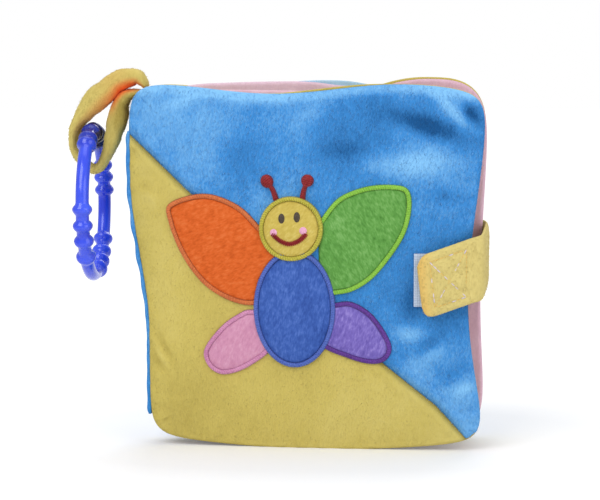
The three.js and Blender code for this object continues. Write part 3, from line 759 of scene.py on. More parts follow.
@dataclass
class Board:
    """A padded board of the book in its own flat frame, in millimetres."""

    name: str
    step: float
    form: Form
    origin: tuple[float, float]
    cloth: float = 1.0
    gap: float = 0.3
    pitch: float = PITCH
    fan: float = math.radians(2.7)
    deepest: float = 1.05
    low_draw: float = 0.8
    foot_rise: float = 5.5
    foot_cut: float = 0.6
    hem: float = 1.6
    thinnest: float = 0.12
    gather_pitch: float = 9.5
    gather_reach: float = 6.0
    gather_start: float = 1.2
    calm_middle: tuple[float, float] = (72.0, 80.0)
    calm_half: tuple[float, float] = (52.0, 42.0)
    calm_share: float = 0.75

    def fore_edge(self, up: np.ndarray) -> np.ndarray:
        """Returns x of the fore-edge, drawn in below half-way up, at shares of the height."""
        edges = self.form.value
        return WIDTH + edges.overhang - edges.draw_in * swing(np.maximum(0, up) ** self.low_draw, 0, 1)

    def outline(self, across: np.ndarray, up: np.ndarray, face: Face | None = None) -> tuple[np.ndarray, np.ndarray]:
        """Returns x and z of places given as shares of the board's width and height, on one of its sides."""
        edges = self.form.value
        left = spine_edge(up)
        right = self.fore_edge(up)
        top = HEIGHT - edges.dip * swing(across, *CRESTS) + (face.top(across) if face else 0)
        foot = self.foot_rise * (2 * across - 1) ** 2 - self.foot_cut
        return left + across * (right - left), np.maximum(0, foot + up * (top - foot))

    def rounded(self, side: np.ndarray, rise: np.ndarray) -> tuple[np.ndarray, np.ndarray]:
        """Draws a square grid from -1 to 1 into the board's rounded corners, as shares."""
        power = self.form.value.squareness
        most = np.maximum(np.abs(side), np.abs(rise))
        reach = (np.abs(side) ** power + np.abs(rise) ** power) ** (1 / power)
        pull = np.where(reach > 0, most / np.maximum(reach, 1e-9), 1)
        return 0.5 + 0.5 * side * pull, 0.5 + 0.5 * rise * pull

    @staticmethod
    def crown(side: np.ndarray, rise: np.ndarray, square: float = 2.4, full: float = 0.7) -> np.ndarray:
        """Returns the padding's height over a square grid, from 0 at the edges to 1 in the middle.

        Args:
            side: Places across, from -1 to 1.
            rise: Places up, from -1 to 1.
            square: How square its outline is.
            full: How full it is, where less is fuller.
        """
        return (np.maximum(0, 1 - np.abs(side) ** square) * np.maximum(0, 1 - np.abs(rise) ** square)) ** full

    def place(self, points: np.ndarray) -> np.ndarray:
        """Takes points of the board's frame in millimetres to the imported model's frame in metres."""
        turn = self.step * self.fan
        x = math.cos(turn) * points[..., 0] - math.sin(turn) * points[..., 1] + self.origin[0]
        y = math.sin(turn) * points[..., 0] + math.cos(turn) * points[..., 1] + self.origin[1]
        return np.stack([x, y + self.step * self.pitch, points[..., 2]], axis=-1) * MM

    def sheet(self, face: Face, relief: np.ndarray, side: np.ndarray, rise: np.ndarray,
              towards: int) -> tuple[np.ndarray, np.ndarray]:
        """Returns the outer and inner sheet of one cloth over a grid from -1 to 1.

        Args:
            face: The padding and folds of this side.
            relief: How the filled cloth swells, over an even grid of the face.
            side: Places across, from -1 to 1.
            rise: Places up, from -1 to 1.
            towards: 1 for the side that faces the reader, -1 for the back.
        """
        x, z = self.outline(*self.rounded(side, rise), face)
        edge_x = (1 - np.abs(side)) * WIDTH / 2
        edge_z = (1 - np.abs(rise)) * HEIGHT / 2
        edge = np.minimum(edge_x, edge_z)
        hem = np.sqrt(np.maximum(0, 1 - (1 - np.minimum(edge / self.hem, 1)) ** 2))
        along = np.where(edge_x < edge_z, z, x)
        gather = np.sin(2 * math.pi * along / self.gather_pitch + 2.2 * ripples(x, z, 40, face.seed + 3))
        gather = gather * np.exp(-edge / self.gather_reach) * (1 - np.exp(-edge / self.gather_start)) * face.pucker
        last = relief.shape[0] - 1
        swell = Pile.between(relief, (rise.reshape(-1) + 1) / 2 * last, (side.reshape(-1) + 1) / 2 * last)
        change = swell.reshape(x.shape) + gather - sum((f.at(x, z) for f in face.folds), np.zeros_like(x))
        if face.calm:
            aside = (x - self.calm_middle[0]) / self.calm_half[0]
            above = (z - self.calm_middle[1]) / self.calm_half[1]
            change = change * (1 - self.calm_share * np.exp(-aside ** 6 - above ** 6))
        change = np.maximum(change, -self.deepest * (0.3 + 0.7 * hem))
        thick = self.cloth * (self.thinnest + (1 - self.thinnest) * hem)
        lift = self.gap / 2 + face.rise * self.crown(side, rise) + thick + change * hem
        lift = np.maximum(lift, self.gap / 2 + self.thinnest)
        low = np.maximum(lift - self.cloth, self.gap / 2)
        outer = np.stack([x, -towards * lift, z], axis=-1)
        inner = np.stack([x, -towards * low, z], axis=-1)
        return outer, inner


def edge_spaced(count: int) -> np.ndarray:
    """Returns places from -1 to 1 that stand closer together near both ends."""
    even = np.linspace(-1, 1, count)
    return 0.35 * even + 0.65 * np.sin(even * math.pi / 2)


def softened(grid: np.ndarray, times: int) -> np.ndarray:
    """Returns a grid of heights averaged with its neighbours a number of times."""
    for _ in range(times):
        wide = np.pad(grid, 1, mode="edge")
        near = wide[:-2, 1:-1] + wide[2:, 1:-1] + wide[1:-1, :-2] + wide[1:-1, 2:]
        grid = (near + 4 * grid) / 8
    return grid


@dataclass(frozen=True)
class Filling:
    """Fills a face like a cushion that is sewn down round its rim, by cloth simulation."""

    count: int = 57
    frames: int = 20
    scale: float = 20.0
    pressure: float = 4.0
    stiffness: float = 80.0
    slack: float = 0.01
    mass: float = 0.3
    shear_share: float = 0.3
    bending: float = 0.5
    wave_length: float = 42.0
    wave_start: float = 0.2
    broad: int = 40
    cap: float = 0.9
    full_swell: float = 0.55

    def relief(self, board: Board, face: Face) -> np.ndarray:
        """Fills one side of a board and keeps the fine part of what its cloth does.

        Args:
            board: The board whose outline the cloth has.
            face: The side, with its padding and how much of the relief it shows.

        Returns:
            How far the filled cloth stands over the plain crown, over an even grid, in millimetres.
        """
        even = np.linspace(-1, 1, self.count)
        side, rise = np.meshgrid(even, even)
        x, z = board.outline(*board.rounded(side, rise))
        wave = ripples(x, z, self.wave_length, face.seed) * board.crown(side, rise) ** 0.5
        low = -(face.rise * board.crown(side, rise) + self.wave_start * wave)
        points = np.stack([x, low, z], axis=-1).reshape(-1, 3) * MM * self.scale
        pad = new_piece(board.name + "_cushion", points, grid_faces(self.count, self.count))
        rim = [i for i, s in enumerate(np.maximum(np.abs(side), np.abs(rise)).reshape(-1)) if s > 0.999]
        pad.vertex_groups.new(name="sewn").add(rim, 1.0, "REPLACE")
        cushion = pad.modifiers.new("filling", "CLOTH")
        cushion.settings.vertex_group_mass = "sewn"
        cushion.settings.quality = 5
        cushion.settings.mass = self.mass
        cushion.settings.tension_stiffness = self.stiffness
        cushion.settings.compression_stiffness = self.stiffness
        cushion.settings.shear_stiffness = self.shear_share * self.stiffness
        cushion.settings.bending_stiffness = self.bending
        cushion.settings.shrink_min = -self.slack
        cushion.settings.use_pressure = True
        looks_inwards = pad.data.polygons[len(pad.data.polygons) // 2].normal.y > 0
        cushion.settings.uniform_pressure_force = -self.pressure if looks_inwards else self.pressure
        cushion.settings.effector_weights.gravity = 0.0
        cushion.collision_settings.use_collision = False
        cushion.point_cache.frame_end = self.frames
        for frame in range(1, self.frames + 1):
            bpy.context.scene.frame_set(frame)
        bpy.ops.object.select_all(action="DESELECT")
        bpy.context.view_layer.objects.active = pad
        pad.select_set(True)
        bpy.ops.object.modifier_apply(modifier=cushion.name)
        moved = np.array([v.co.y for v in pad.data.vertices]).reshape(x.shape) / (MM * self.scale)
        bpy.data.objects.remove(pad)
        bpy.context.scene.frame_set(1)
        change = low - moved
        LOG.info("%s filled: the cloth moves %.2f to %.2f mm", board.name, change.min(), change.max())
        fine = (change - softened(change, self.broad)) * board.crown(side, rise) ** 0.3
        LOG.info("%s relief: %.2f to %.2f mm before the cap", board.name, fine.min(), fine.max())
        return self.cap * np.tanh(fine / self.cap) * face.swell / self.full_swell


@dataclass
class PaddedBoard:
    """A board's two cloths, each a piece of its own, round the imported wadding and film."""

    board: Board
    wardrobe: Wardrobe
    front: Face
    back: Face
    count: int = 90
    filling: Filling = field(default_factory=Filling)
    swirl: float = 0.5
    swirl_length: float = 75.0
    # The fibres are lighter than the cloth: lighter tips, and painted light that keeps their own shaded sides from
    # showing as dark specks.
    tips_and_painted_light: float = 0.6

    def cloth(self, node: str, face: Face, towards: int, finish: Finish, slot: str,
              pile: Pile | None = None) -> bpy.types.Object:
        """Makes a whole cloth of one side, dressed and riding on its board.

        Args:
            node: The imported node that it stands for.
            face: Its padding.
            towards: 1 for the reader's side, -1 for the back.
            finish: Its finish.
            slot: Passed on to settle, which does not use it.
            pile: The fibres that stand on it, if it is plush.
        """
        side, rise = np.meshgrid(edge_spaced(self.count), edge_spaced(self.count))
        relief = self.filling.relief(self.board, face)
        outer, inner = self.board.sheet(face, relief, side, rise, towards)
        return self.settle(node, outer, inner, face, finish, slot, pile)

    def settle(self, node: str, outer: np.ndarray, inner: np.ndarray, face: Face, finish: Finish, slot: str,
               pile: Pile | None, bare: Callable[[np.ndarray], np.ndarray] | None = None,
               dark: np.ndarray | None = None) -> bpy.types.Object:
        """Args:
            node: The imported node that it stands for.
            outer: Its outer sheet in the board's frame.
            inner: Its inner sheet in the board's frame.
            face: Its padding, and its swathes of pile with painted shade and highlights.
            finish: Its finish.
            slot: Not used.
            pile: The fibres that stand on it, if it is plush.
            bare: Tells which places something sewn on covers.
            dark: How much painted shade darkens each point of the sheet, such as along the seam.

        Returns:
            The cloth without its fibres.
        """
        # Tone of the swathes of pile, with painted shade and painted highlights.
        nap = face.brushed_and_shaded(outer[..., 0], outer[..., 2])
        points, faces = slab(self.board.place(outer), self.board.place(inner))
        # The painted shade given, such as along the seam, is stored for the material.
        shade = np.zeros(nap.shape) if dark is None else dark
        told = {"nap": np.tile(nap.reshape(-1), 2), "edge": np.tile(shade.reshape(-1), 2)}
        piece = new_piece(node + "_plush", points, faces, told)
        self.wear(piece, finish)
        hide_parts(node)
        if pile:
            normals = grid_normals(outer)
            normals *= -np.sign(normals[..., 1:2]) * np.sign(-outer[..., 1:2])
            swirl = self.swirl * ripples(outer[..., 0], outer[..., 2], self.swirl_length, face.seed + 7)
            ways = np.stack([np.sin(swirl), np.zeros_like(swirl), -np.cos(swirl)], axis=-1)
            fibres, spikes, _ = pile.grow(outer, normals, ways, face.seed, bare)
            # The fibres take the cloth's tone, with painted light added.
            told = face.brushed_and_shaded(fibres[:, 0], fibres[:, 2]) + self.tips_and_painted_light
            fibres[:, 2] = np.maximum(fibres[:, 2], 0.05)
            fur = new_piece(node + "_pile", self.board.place(fibres), spikes, {"nap": told})
            self.wear(fur, finish)
        return piece

    def wear(self, piece: bpy.types.Object, finish: Finish) -> None:
        """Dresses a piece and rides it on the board."""
        self.wardrobe.dress(piece, finish)
        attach(piece, self.board.name)
        LOG.info("%s: %d faces", piece.name, len(piece.data.polygons))

    def fill(self, nodes: dict[str, bpy.types.Object]) -> None:
        """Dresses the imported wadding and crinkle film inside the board."""
        self.wardrobe.dress(nodes[self.board.name + "_wadding"], Finish.WADDING)
        self.wardrobe.dress(nodes[self.board.name + "_crinkle_film"], Finish.FILM)


@dataclass
class FrontCover(PaddedBoard):
    """The front cover, whose outside is a blue and a yellow cloth that meet on a diagonal seam."""

    seam: tuple = ((0.0, 0.868), (0.172, 0.711), (0.45, 0.474), (0.72, 0.243), (0.868, 0.126), (1.0, -0.02))
    seam_width: float = 1.3
    seam_depth: float = 1.0
    shoulders: tuple[float, float] = (1.3, 0.4)
    shoulder_out: float = 3.6
    shoulder_width: float = 2.3
    seam_cosine: float = 0.74
    half_gap: float = 0.0015
    fade_width: float = 5.0
    pull_pitch: float = 5.3
    stitch_pitch: float = 3.1
    stitch_height: float = 0.2
    stitch_width: float = 2.2
    # Painted shade along the seam, as its most and its width, above and below.
    seam_painted_shade: tuple[tuple[float, float], ...] = ((0.5, 0.8), (0.62, 1.5))
    search_step: float = 95.0
    lowest: float = -0.996
    surface_count: int = 150
    count: int = 128
    relief: np.ndarray = field(default_factory=lambda: np.zeros((2, 2)))

    def seam_height(self, x: np.ndarray) -> np.ndarray:
        """Returns how high the seam runs at each place across, in millimetres."""
        places, heights = zip(*self.seam)
        return np.interp(np.asarray(x) / WIDTH, places, heights) * HEIGHT

    def seam_rise(self, side: np.ndarray) -> np.ndarray:
        """Returns the place from -1 to 1 at which the seam crosses each column of the face."""
        rise = np.zeros_like(side)
        for _ in range(30):
            x, z = self.board.outline(*self.board.rounded(side, rise))
            rise = np.clip(rise + (self.seam_height(x) - z) / self.search_step, self.lowest, 1)
        return rise

    def panel(self, node: str, upper: bool, finish: Finish, slot: str, pile: Pile,
              bare: Callable[[np.ndarray], np.ndarray]) -> bpy.types.Object:
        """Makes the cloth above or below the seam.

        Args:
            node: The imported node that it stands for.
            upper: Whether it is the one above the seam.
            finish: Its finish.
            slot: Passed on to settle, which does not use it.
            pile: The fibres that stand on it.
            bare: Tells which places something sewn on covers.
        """
        share = ((edge_spaced(self.count) + 1) / 2)[:, None]
        side = np.repeat(edge_spaced(self.count)[None, :], self.count, 0)
        seam = self.seam_rise(side)
        hair = self.half_gap if upper else -self.half_gap
        rise = np.clip(seam + hair + ((1.0 if upper else -1.0) - seam - hair) * share, -1, 1)
        outer, inner = self.board.sheet(self.front, self.relief, side, rise, 1)
        x, z = outer[..., 0], outer[..., 2]
        away = np.abs(z - self.seam_height(x)) * self.seam_cosine
        edge = np.minimum(1 - np.abs(side), 1 - np.abs(rise)) * WIDTH / 2
        fade = np.clip(edge / self.fade_width, 0, 1)
        free = 1 - self.near_cover(outer, bare)
        pull = 1 + 0.25 * np.sin(2 * math.pi * x / self.pull_pitch + 2 * ripples(x, z, 30, 6))
        groove = self.seam_depth * hill(away, 0, self.seam_width)
        shoulder = self.shoulders[0 if upper else 1] * hill(away, self.shoulder_out, self.shoulder_width)
        groove -= shoulder * pull * free
        along = np.sin(2 * math.pi * x / self.stitch_pitch)
        stitches = self.stitch_height * hill(away, 0, self.stitch_width) * along * free
        nearest = -(self.board.gap / 2 + self.board.thinnest)
        for grid in (outer, inner):
            grid[..., 1] = np.minimum(grid[..., 1] + (groove + stitches) * fade, nearest)
        # Painted shade in the seam's groove, wider and darker on the yellow side.
        most, width = self.seam_painted_shade[0 if upper else 1]
        dark = most * hill(away, 0, width)
        return self.settle(node, outer, inner, self.front, finish, slot, pile, bare, dark)

    @staticmethod
    def near_cover(grid: np.ndarray, bare: Callable[[np.ndarray], np.ndarray]) -> np.ndarray:
        """Returns how much of a small circle round each point is covered by what is sewn on."""
        flat = grid.reshape(-1, 3)
        found = [bare(flat + [3 * math.cos(a), 0, 3 * math.sin(a)]) for a in np.linspace(0, 2 * math.pi, 9)[:-1]]
        found += [bare(flat)]
        return np.clip(1.6 * np.mean(found, axis=0), 0, 1).reshape(grid.shape[:2])

    def surface(self) -> Callable[[float, float], float]:
        """Returns the finished outside's lift, in millimetres, at x and z of the cover's frame."""
        self.relief = self.filling.relief(self.board, self.front)
        even = edge_spaced(self.surface_count)
        side, rise = np.meshgrid(even, even)
        sheet, _ = self.board.sheet(self.front, self.relief, side, rise, 1)
        tree = BVHTree.FromPolygons(sheet.reshape(-1, 3).tolist(), grid_faces(len(even), len(even)))

        def lift(x: float, z: float) -> float:
            """Returns the lift at one place, or that of the flat cover outside its outline."""
            hit = tree.ray_cast(Vector((x, -60.0, z)), Vector((0.0, 1.0, 0.0)))
            return -hit[0].y if hit[0] else 1.2

        return lift


# What is sewn on the cover


@dataclass
class Sewing:
    """Lays cloth and stitches on the front cover's finished surface."""

    board: Board
    lift: Callable[[float, float], float]
    wardrobe: Wardrobe
    under: float = 1.3

    def put(self, points: np.ndarray, heights: np.ndarray) -> np.ndarray:
        """Takes x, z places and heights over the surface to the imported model's frame."""
        flat = points.reshape(-1, 2)
        base = np.array([self.lift(x, z) for x, z in flat]).reshape(points.shape[:-1])
        local = np.stack([points[..., 0], -(base + heights), points[..., 1]], axis=-1)
        return self.board.place(local)

    def finish(self, piece: bpy.types.Object, node: str, finish: Finish, slot: str) -> bpy.types.Object:
        """Dresses a sewn piece and rides it on the front cover."""
        self.wardrobe.dress(piece, finish)
        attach(piece, self.board.name)
        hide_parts(node)
        LOG.info("%s: %d faces", piece.name, len(piece.data.polygons))
        return piece

    def patch(self, name: str, outline: np.ndarray, thickness: float, puff: float, rings: int = 16) -> bpy.types.Object:
        """Makes a puffed cloth inside an outline that its middle can see all of.

        Args:
            name: The piece's name.
            outline: Places x, z round the piece.
            thickness: Of the cloth at its edge, in millimetres.
            puff: How far its middle stands above that.
            rings: Rings of faces from the middle to the edge.
        """
        centre = outline.mean(axis=0)
        shares = np.sin(np.linspace(0.02, 1, rings) * math.pi / 2)
        places = centre + shares[:, None, None] * (outline - centre)
        wave = ripples(places[..., 0], places[..., 1], 16, len(name)) * 0.12
        height = thickness * (1 - shares ** 26)[:, None] + puff * (1 - shares ** 2.6)[:, None] + wave * puff
        top = self.put(places, np.maximum(height, 0.05))
        bottom = self.put(places, np.full(places.shape[:-1], -self.under))
        count = len(outline)
        points = np.concatenate([top.reshape(-1, 3), bottom.reshape(-1, 3)])
        second = rings * count
        faces = grid_faces(rings, count, 0, True) + grid_faces(rings, count, second, True)
        faces += [tuple(range(count)), tuple(range(second, second + count))]
        edge = (rings - 1) * count
        faces += [(edge + i, edge + (i + 1) % count, second + edge + (i + 1) % count, second + edge + i)
                  for i in range(count)]
        # Darker round the rim: the stitch line, and painted shade where the cloth runs under its border.
        rim = np.repeat(np.clip((shares - 0.955) / 0.045, 0, 1) * 0.75, count)
        piece = new_piece(name, points, faces, {"edge": np.concatenate([rim, rim])})
        return piece

    def satin(self, name: str, line: np.ndarray, width: float, height: float, closed: bool, pitch: float = 1.05,
              swell: Callable[[float], float] | None = None, dark: float = 0.85) -> bpy.types.Object:
        """Makes a raised band of satin stitch along a line.

        Args:
            name: The piece's name.
            line: Places x, z along its middle.
            width: Its width, in millimetres.
            height: Its height over the cloth.
            closed: Whether the line closes on itself.
            pitch: From thread to thread.
            swell: Widens the band by this factor at a share of its length.
            dark: How much darker the band is at its edges, where the needle went in and painted shade falls.
        """
        length = np.linalg.norm(np.diff(np.concatenate([line, line[:1]]) if closed else line, axis=0), axis=1).sum()
        count = max(8, round(length / (pitch / 4)))
        path = smooth_curve(line, count, closed)
        tangent = np.gradient(path, axis=0)
        if closed:
            tangent = (np.roll(path, -1, 0) - np.roll(path, 1, 0)) / 2
        tangent /= np.linalg.norm(tangent, axis=1)[:, None]
        normal = np.stack([-tangent[:, 1], tangent[:, 0]], axis=1)
        sides = np.array([-1, -0.88, -0.66, -0.36, 0, 0.36, 0.66, 0.88, 1.0])
        run = np.linspace(0, length, count)
        grow = np.array([swell(r / length) if swell else 1.0 for r in run])
        ridge = 0.5 + 0.5 * np.cos(2 * math.pi * (run[:, None] / pitch + 0.35 * sides[None, :]))
        arch = np.maximum(0, 1 - np.abs(sides) ** 2.6) ** 0.5
        reach = width / 2 * (0.95 + 0.09 * ridge) * grow[:, None]
        places = path[:, None, :] + normal[:, None, :] * (sides[None, :] * reach)[..., None]
        tuck = 1.0 if closed else np.clip(0.55 + np.minimum(run, length - run) / 5, 0, 1)[:, None]
        top = self.put(places, height * arch[None, :] * (0.7 + 0.3 * ridge) * tuck + 0.05)
        ends = path[:, None, :] + normal[:, None, :] * (np.array([0.9, -0.9]) * width / 2 * grow[:, None])[..., None]
        under = self.put(ends, np.full((count, 2), -self.under))
        # Darker edges, from needle holes and painted shade, and painted shade in the valleys between the threads.
        rim = dark * np.clip((np.abs(sides) - 0.7) / 0.28, 0, 1)[None, :] + 0.22 * (1 - ridge)
        told = np.concatenate([rim, np.zeros((count, 2))], axis=1)
        return new_piece(name, *tube(np.concatenate([top, under], axis=1), closed), {"edge": told})

    def dot(self, name: str, centre: Sequence[float], half: Sequence[float], height: float,
            base: float) -> bpy.types.Object:
        """Makes a small raised dot of stitches.

        Args:
            name: The piece's name.
            centre: Its place x, z.
            half: Half its width and half its height up the cover.
            height: How far it stands above its base.
            base: The base's height over the cover.
        """
        angle = np.linspace(0, 2 * math.pi, 36, endpoint=False)
        ring = np.stack([half[0] * np.cos(angle), half[1] * np.sin(angle)], axis=1)
        shares = np.sin(np.linspace(0.04, 1, 8) * math.pi / 2)
        places = np.asarray(centre) + shares[:, None, None] * ring
        ridge = 0.5 + 0.5 * np.cos(places[..., 1] * 2 * math.pi / 0.7)
        rise = base + height * np.sqrt(np.maximum(0, 1 - shares[:, None] ** 2)) * (0.8 + 0.2 * ridge)
        top = self.put(places, rise)
        bottom = self.put(places[-1:], np.full((1, len(angle)), base - 0.5))
        return new_piece(name, *tube(np.concatenate([top, bottom]), False))


class Wing(Enum):
    """The butterfly's wings as shares of the cover: outline points, cloth, edge thread and slots."""

    ORANGE = (((0.121, 0.676), (0.219, 0.704), (0.312, 0.676), (0.376, 0.619), (0.435, 0.545), (0.416, 0.43),
               (0.358, 0.4), (0.287, 0.413), (0.215, 0.457), (0.156, 0.533), (0.118, 0.624)),
              Finish.ORANGE, Finish.ORANGE_THREAD, "orange_velour", "orange_thread")
    GREEN = (((0.532, 0.6), (0.551, 0.643), (0.597, 0.696), (0.667, 0.725), (0.738, 0.732), (0.786, 0.721),
              (0.798, 0.676), (0.783, 0.604), (0.74, 0.533), (0.68, 0.467), (0.608, 0.434), (0.541, 0.45)),
             Finish.GREEN, Finish.LIME_THREAD, "green_velour", "lime_thread")
    PINK = (((0.416, 0.375), (0.352, 0.388), (0.317, 0.376), (0.27, 0.343), (0.225, 0.29), (0.216, 0.254),
             (0.238, 0.218), (0.281, 0.206), (0.349, 0.232), (0.416, 0.29)),
            Finish.CANDY, Finish.CANDY_THREAD, "pink_cloth", "pink_thread")
    PURPLE = (((0.541, 0.4), (0.587, 0.41), (0.636, 0.412), (0.694, 0.376), (0.741, 0.304), (0.736, 0.26),
               (0.695, 0.242), (0.624, 0.257), (0.541, 0.3)),
              Finish.PURPLE, Finish.VIOLET_THREAD, "purple_velour", "violet_thread")

    def outline(self) -> np.ndarray:
        """Returns the wing's edge on the cover, in millimetres."""
        return smooth_curve([(a * WIDTH, u * HEIGHT) for a, u in self.value[0]], 200, True)


@dataclass
class Butterfly:
    """The butterfly sewn on the front cover, in millimetres."""

    body_centre: tuple[float, float] = (0.474 * WIDTH, 0.392 * HEIGHT)
    body_half: tuple[float, float] = (18.4, 26.5)
    head_radius: float = 14.4
    border: float = 2.3
    wing_height: float = 1.6
    hidden_under: float = 1.2
    face_base: float = 2.6
    ball_at: float = 0.755
    ball_half: float = 0.245
    ball_width: float = 5.8
    stem_shares: tuple[float, float] = (0.47, 0.17)
    mouth_width: float = 3.0
    antennae: tuple = (((-0.467, 0.88), (-0.567, 1.18), (-0.757, 1.46)), ((0.344, 0.914), (0.39, 1.18), (0.5, 1.48)))
    eyes: tuple = ((-0.275, 0.322), (0.196, 0.368))
    cheeks: tuple = ((-0.515, -0.108), (0.39, -0.045))
    smile: tuple = ((-0.62, -0.06), (-0.52, -0.19), (-0.3, -0.37), (-0.04, -0.45), (0.23, -0.37), (0.44, -0.19),
                    (0.53, -0.06))

    @property
    def head_centre(self) -> np.ndarray:
        """Returns the middle of the head."""
        above = self.body_half[1] + 0.631 * self.head_radius
        return np.array([self.body_centre[0] - 0.1 * self.head_radius, self.body_centre[1] + above])

    def on_head(self, share: Sequence[float]) -> np.ndarray:
        """Returns the place of a pair of shares of the head's radius from its middle."""
        return self.head_centre + self.head_radius * np.array(share)

    @staticmethod
    def oval(centre: Sequence[float], half: Sequence[float], count: int = 120) -> np.ndarray:
        """Returns the outline of an oval on the cover."""
        angle = np.linspace(0, 2 * math.pi, count, endpoint=False)
        return np.asarray(centre) + np.stack([half[0] * np.cos(angle), half[1] * np.sin(angle)], axis=1)

    def inside(self, points: np.ndarray, margin: float) -> np.ndarray:
        """Tells which places lie under the body or the head, grown by a margin."""
        found = np.zeros(len(points), bool)
        for centre, half in ((self.body_centre, self.body_half), (self.head_centre, (self.head_radius,) * 2)):
            off = (points - centre) / (np.array(half) + margin)
            found |= (off ** 2).sum(axis=1) < 1
        return found

    def covered(self, places: np.ndarray) -> np.ndarray:
        """Tells which points of the cover's frame lie under the butterfly."""
        flat = places[:, [0, 2]]
        found = self.inside(flat, 0.2)
        for wing in Wing:
            found |= inside_outline(flat, wing.outline())
        for stem in self.antennae:
            for share in np.linspace(0, 1, 8):
                spot = self.on_head(stem[1]) + (self.on_head(stem[2]) - self.on_head(stem[0])) * (share - 0.5)
                found |= np.linalg.norm(flat - spot, axis=1) < 1.0 + 1.9 * share
        return found

    @staticmethod
    def shrunk(outline: np.ndarray, distance: float) -> np.ndarray:
        """Returns the outline moved inwards by a distance."""
        tangent = np.roll(outline, -1, 0) - np.roll(outline, 1, 0)
        normal = np.stack([-tangent[:, 1], tangent[:, 0]], axis=1) / np.linalg.norm(tangent, axis=1)[:, None]
        turning = np.sum(outline[:, 0] * np.roll(outline[:, 1], -1) - np.roll(outline[:, 0], -1) * outline[:, 1])
        return outline + normal * distance * (1 if turning > 0 else -1)

    def wing(self, sewing: Sewing, wing: Wing) -> None:
        """Makes one wing: its cloth, tucked under the body, and the border along its free edge."""
        _, cloth, thread, cloth_slot, thread_slot = wing.value
        name = wing.name.lower() + "_wing"
        outline = wing.outline()
        line = self.shrunk(outline, self.border / 2)
        line = self.longest(line, self.inside(line, -self.hidden_under))
        fill = self.tuck(self.shrunk(outline, self.border * 0.72))
        patch = sewing.patch(name + "_velour", fill, 0.85, 0.5)
        sewing.finish(patch, name, cloth, cloth_slot)
        band = sewing.satin(name + "_satin_stitch", line, self.border, self.wing_height, False)
        sewing.finish(band, name + "_border", thread, thread_slot)

    @staticmethod
    def longest(line: np.ndarray, hidden: np.ndarray) -> np.ndarray:
        """Returns the longest stretch of a closed line that is not hidden."""
        start = int(np.argmax(hidden))
        line, hidden = np.roll(line, -start, 0), np.roll(hidden, -start)
        edges = [*np.flatnonzero(hidden), len(hidden)]
        gap, first = max((b - a, a) for a, b in zip(edges, edges[1:]))
        return line[first + 1:first + gap]

    def tuck(self, outline: np.ndarray) -> np.ndarray:
        """Pulls the part of an outline that runs under the body or head back to their edge."""
        middle = outline[~self.inside(outline, 3.0)].mean(axis=0)
        result = outline.copy()
        for i, point in enumerate(result):
            for share in np.linspace(1, 0.2, 60):
                place = middle + (point - middle) * share
                if not self.inside(place[None, :], -self.hidden_under)[0]:
                    result[i] = place
                    break
        return result

    def build(self, sewing: Sewing) -> None:
        """Makes the wings, then the body and the head over them, then the face."""
        for wing in Wing:
            self.wing(sewing, wing)
        body = self.oval(self.body_centre, self.body_half)
        head = self.oval(self.head_centre, (self.head_radius, self.head_radius))
        for name, outline, thickness, height, cloth, thread, slots in (
                ("body", body, 1.35, 2.0, Finish.ROYAL, Finish.ROYAL_THREAD, ("royal_velour", "royal_thread")),
                ("head", head, 2.3, 3.1, Finish.FACE, Finish.FACE_THREAD, ("yellow_velour", "yellow_thread"))):
            fill = sewing.patch(name + "_velour", self.shrunk(outline, self.border * 0.72), thickness, 0.6)
            sewing.finish(fill, name, cloth, slots[0])
            line = self.shrunk(outline, self.border / 2)
            band = sewing.satin(name + "_satin_stitch", line, self.border, height, True)
            sewing.finish(band, name + "_border", thread, slots[1])
        self.face(sewing)

    def face(self, sewing: Sewing) -> None:
        """Makes the antennae, eyes, cheeks and mouth."""
        base = self.face_base
        root, taper = self.stem_shares

        def knob(share: float) -> float:
            """Swells the antenna into the ball at its end."""
            ball = math.sqrt(max(0.0, 1 - ((share - self.ball_at) / self.ball_half) ** 2))
            return max(root - taper * share if share < self.ball_at else 0.05, ball)

        for i, side in enumerate(("left", "right")):
            line = np.array([self.on_head(s) for s in self.antennae[i]])
            line = np.concatenate([line, line[-1:] + (line[-1] - line[-2]) * 0.6])
            antenna = sewing.satin(side + "_antenna_stitch", line, self.ball_width, 2.4, False, 0.9, knob, 0.5)
            sewing.finish(antenna, side + "_antenna", Finish.RED_THREAD, "red_thread")
            dot = sewing.dot(side + "_eye_stitch", self.on_head(self.eyes[i]), (1.45, 2.3), 0.8, base + 0.1)
            sewing.finish(dot, side + "_eye", Finish.DARK_THREAD, "dark_thread")
            dot = sewing.dot(side + "_cheek_stitch", self.on_head(self.cheeks[i]), (1.7, 1.75), 0.7, base)
            sewing.finish(dot, side + "_cheek", Finish.CHEEK_THREAD, "pink_thread")
        line = np.array([self.on_head(s) for s in self.smile])
        mouth = sewing.satin("mouth_stitch", line, self.mouth_width, base + 1.6, False, 0.8, None, 0.15)
        sewing.finish(mouth, "mouth", Finish.RED_THREAD, "red_thread")


# Closure tab


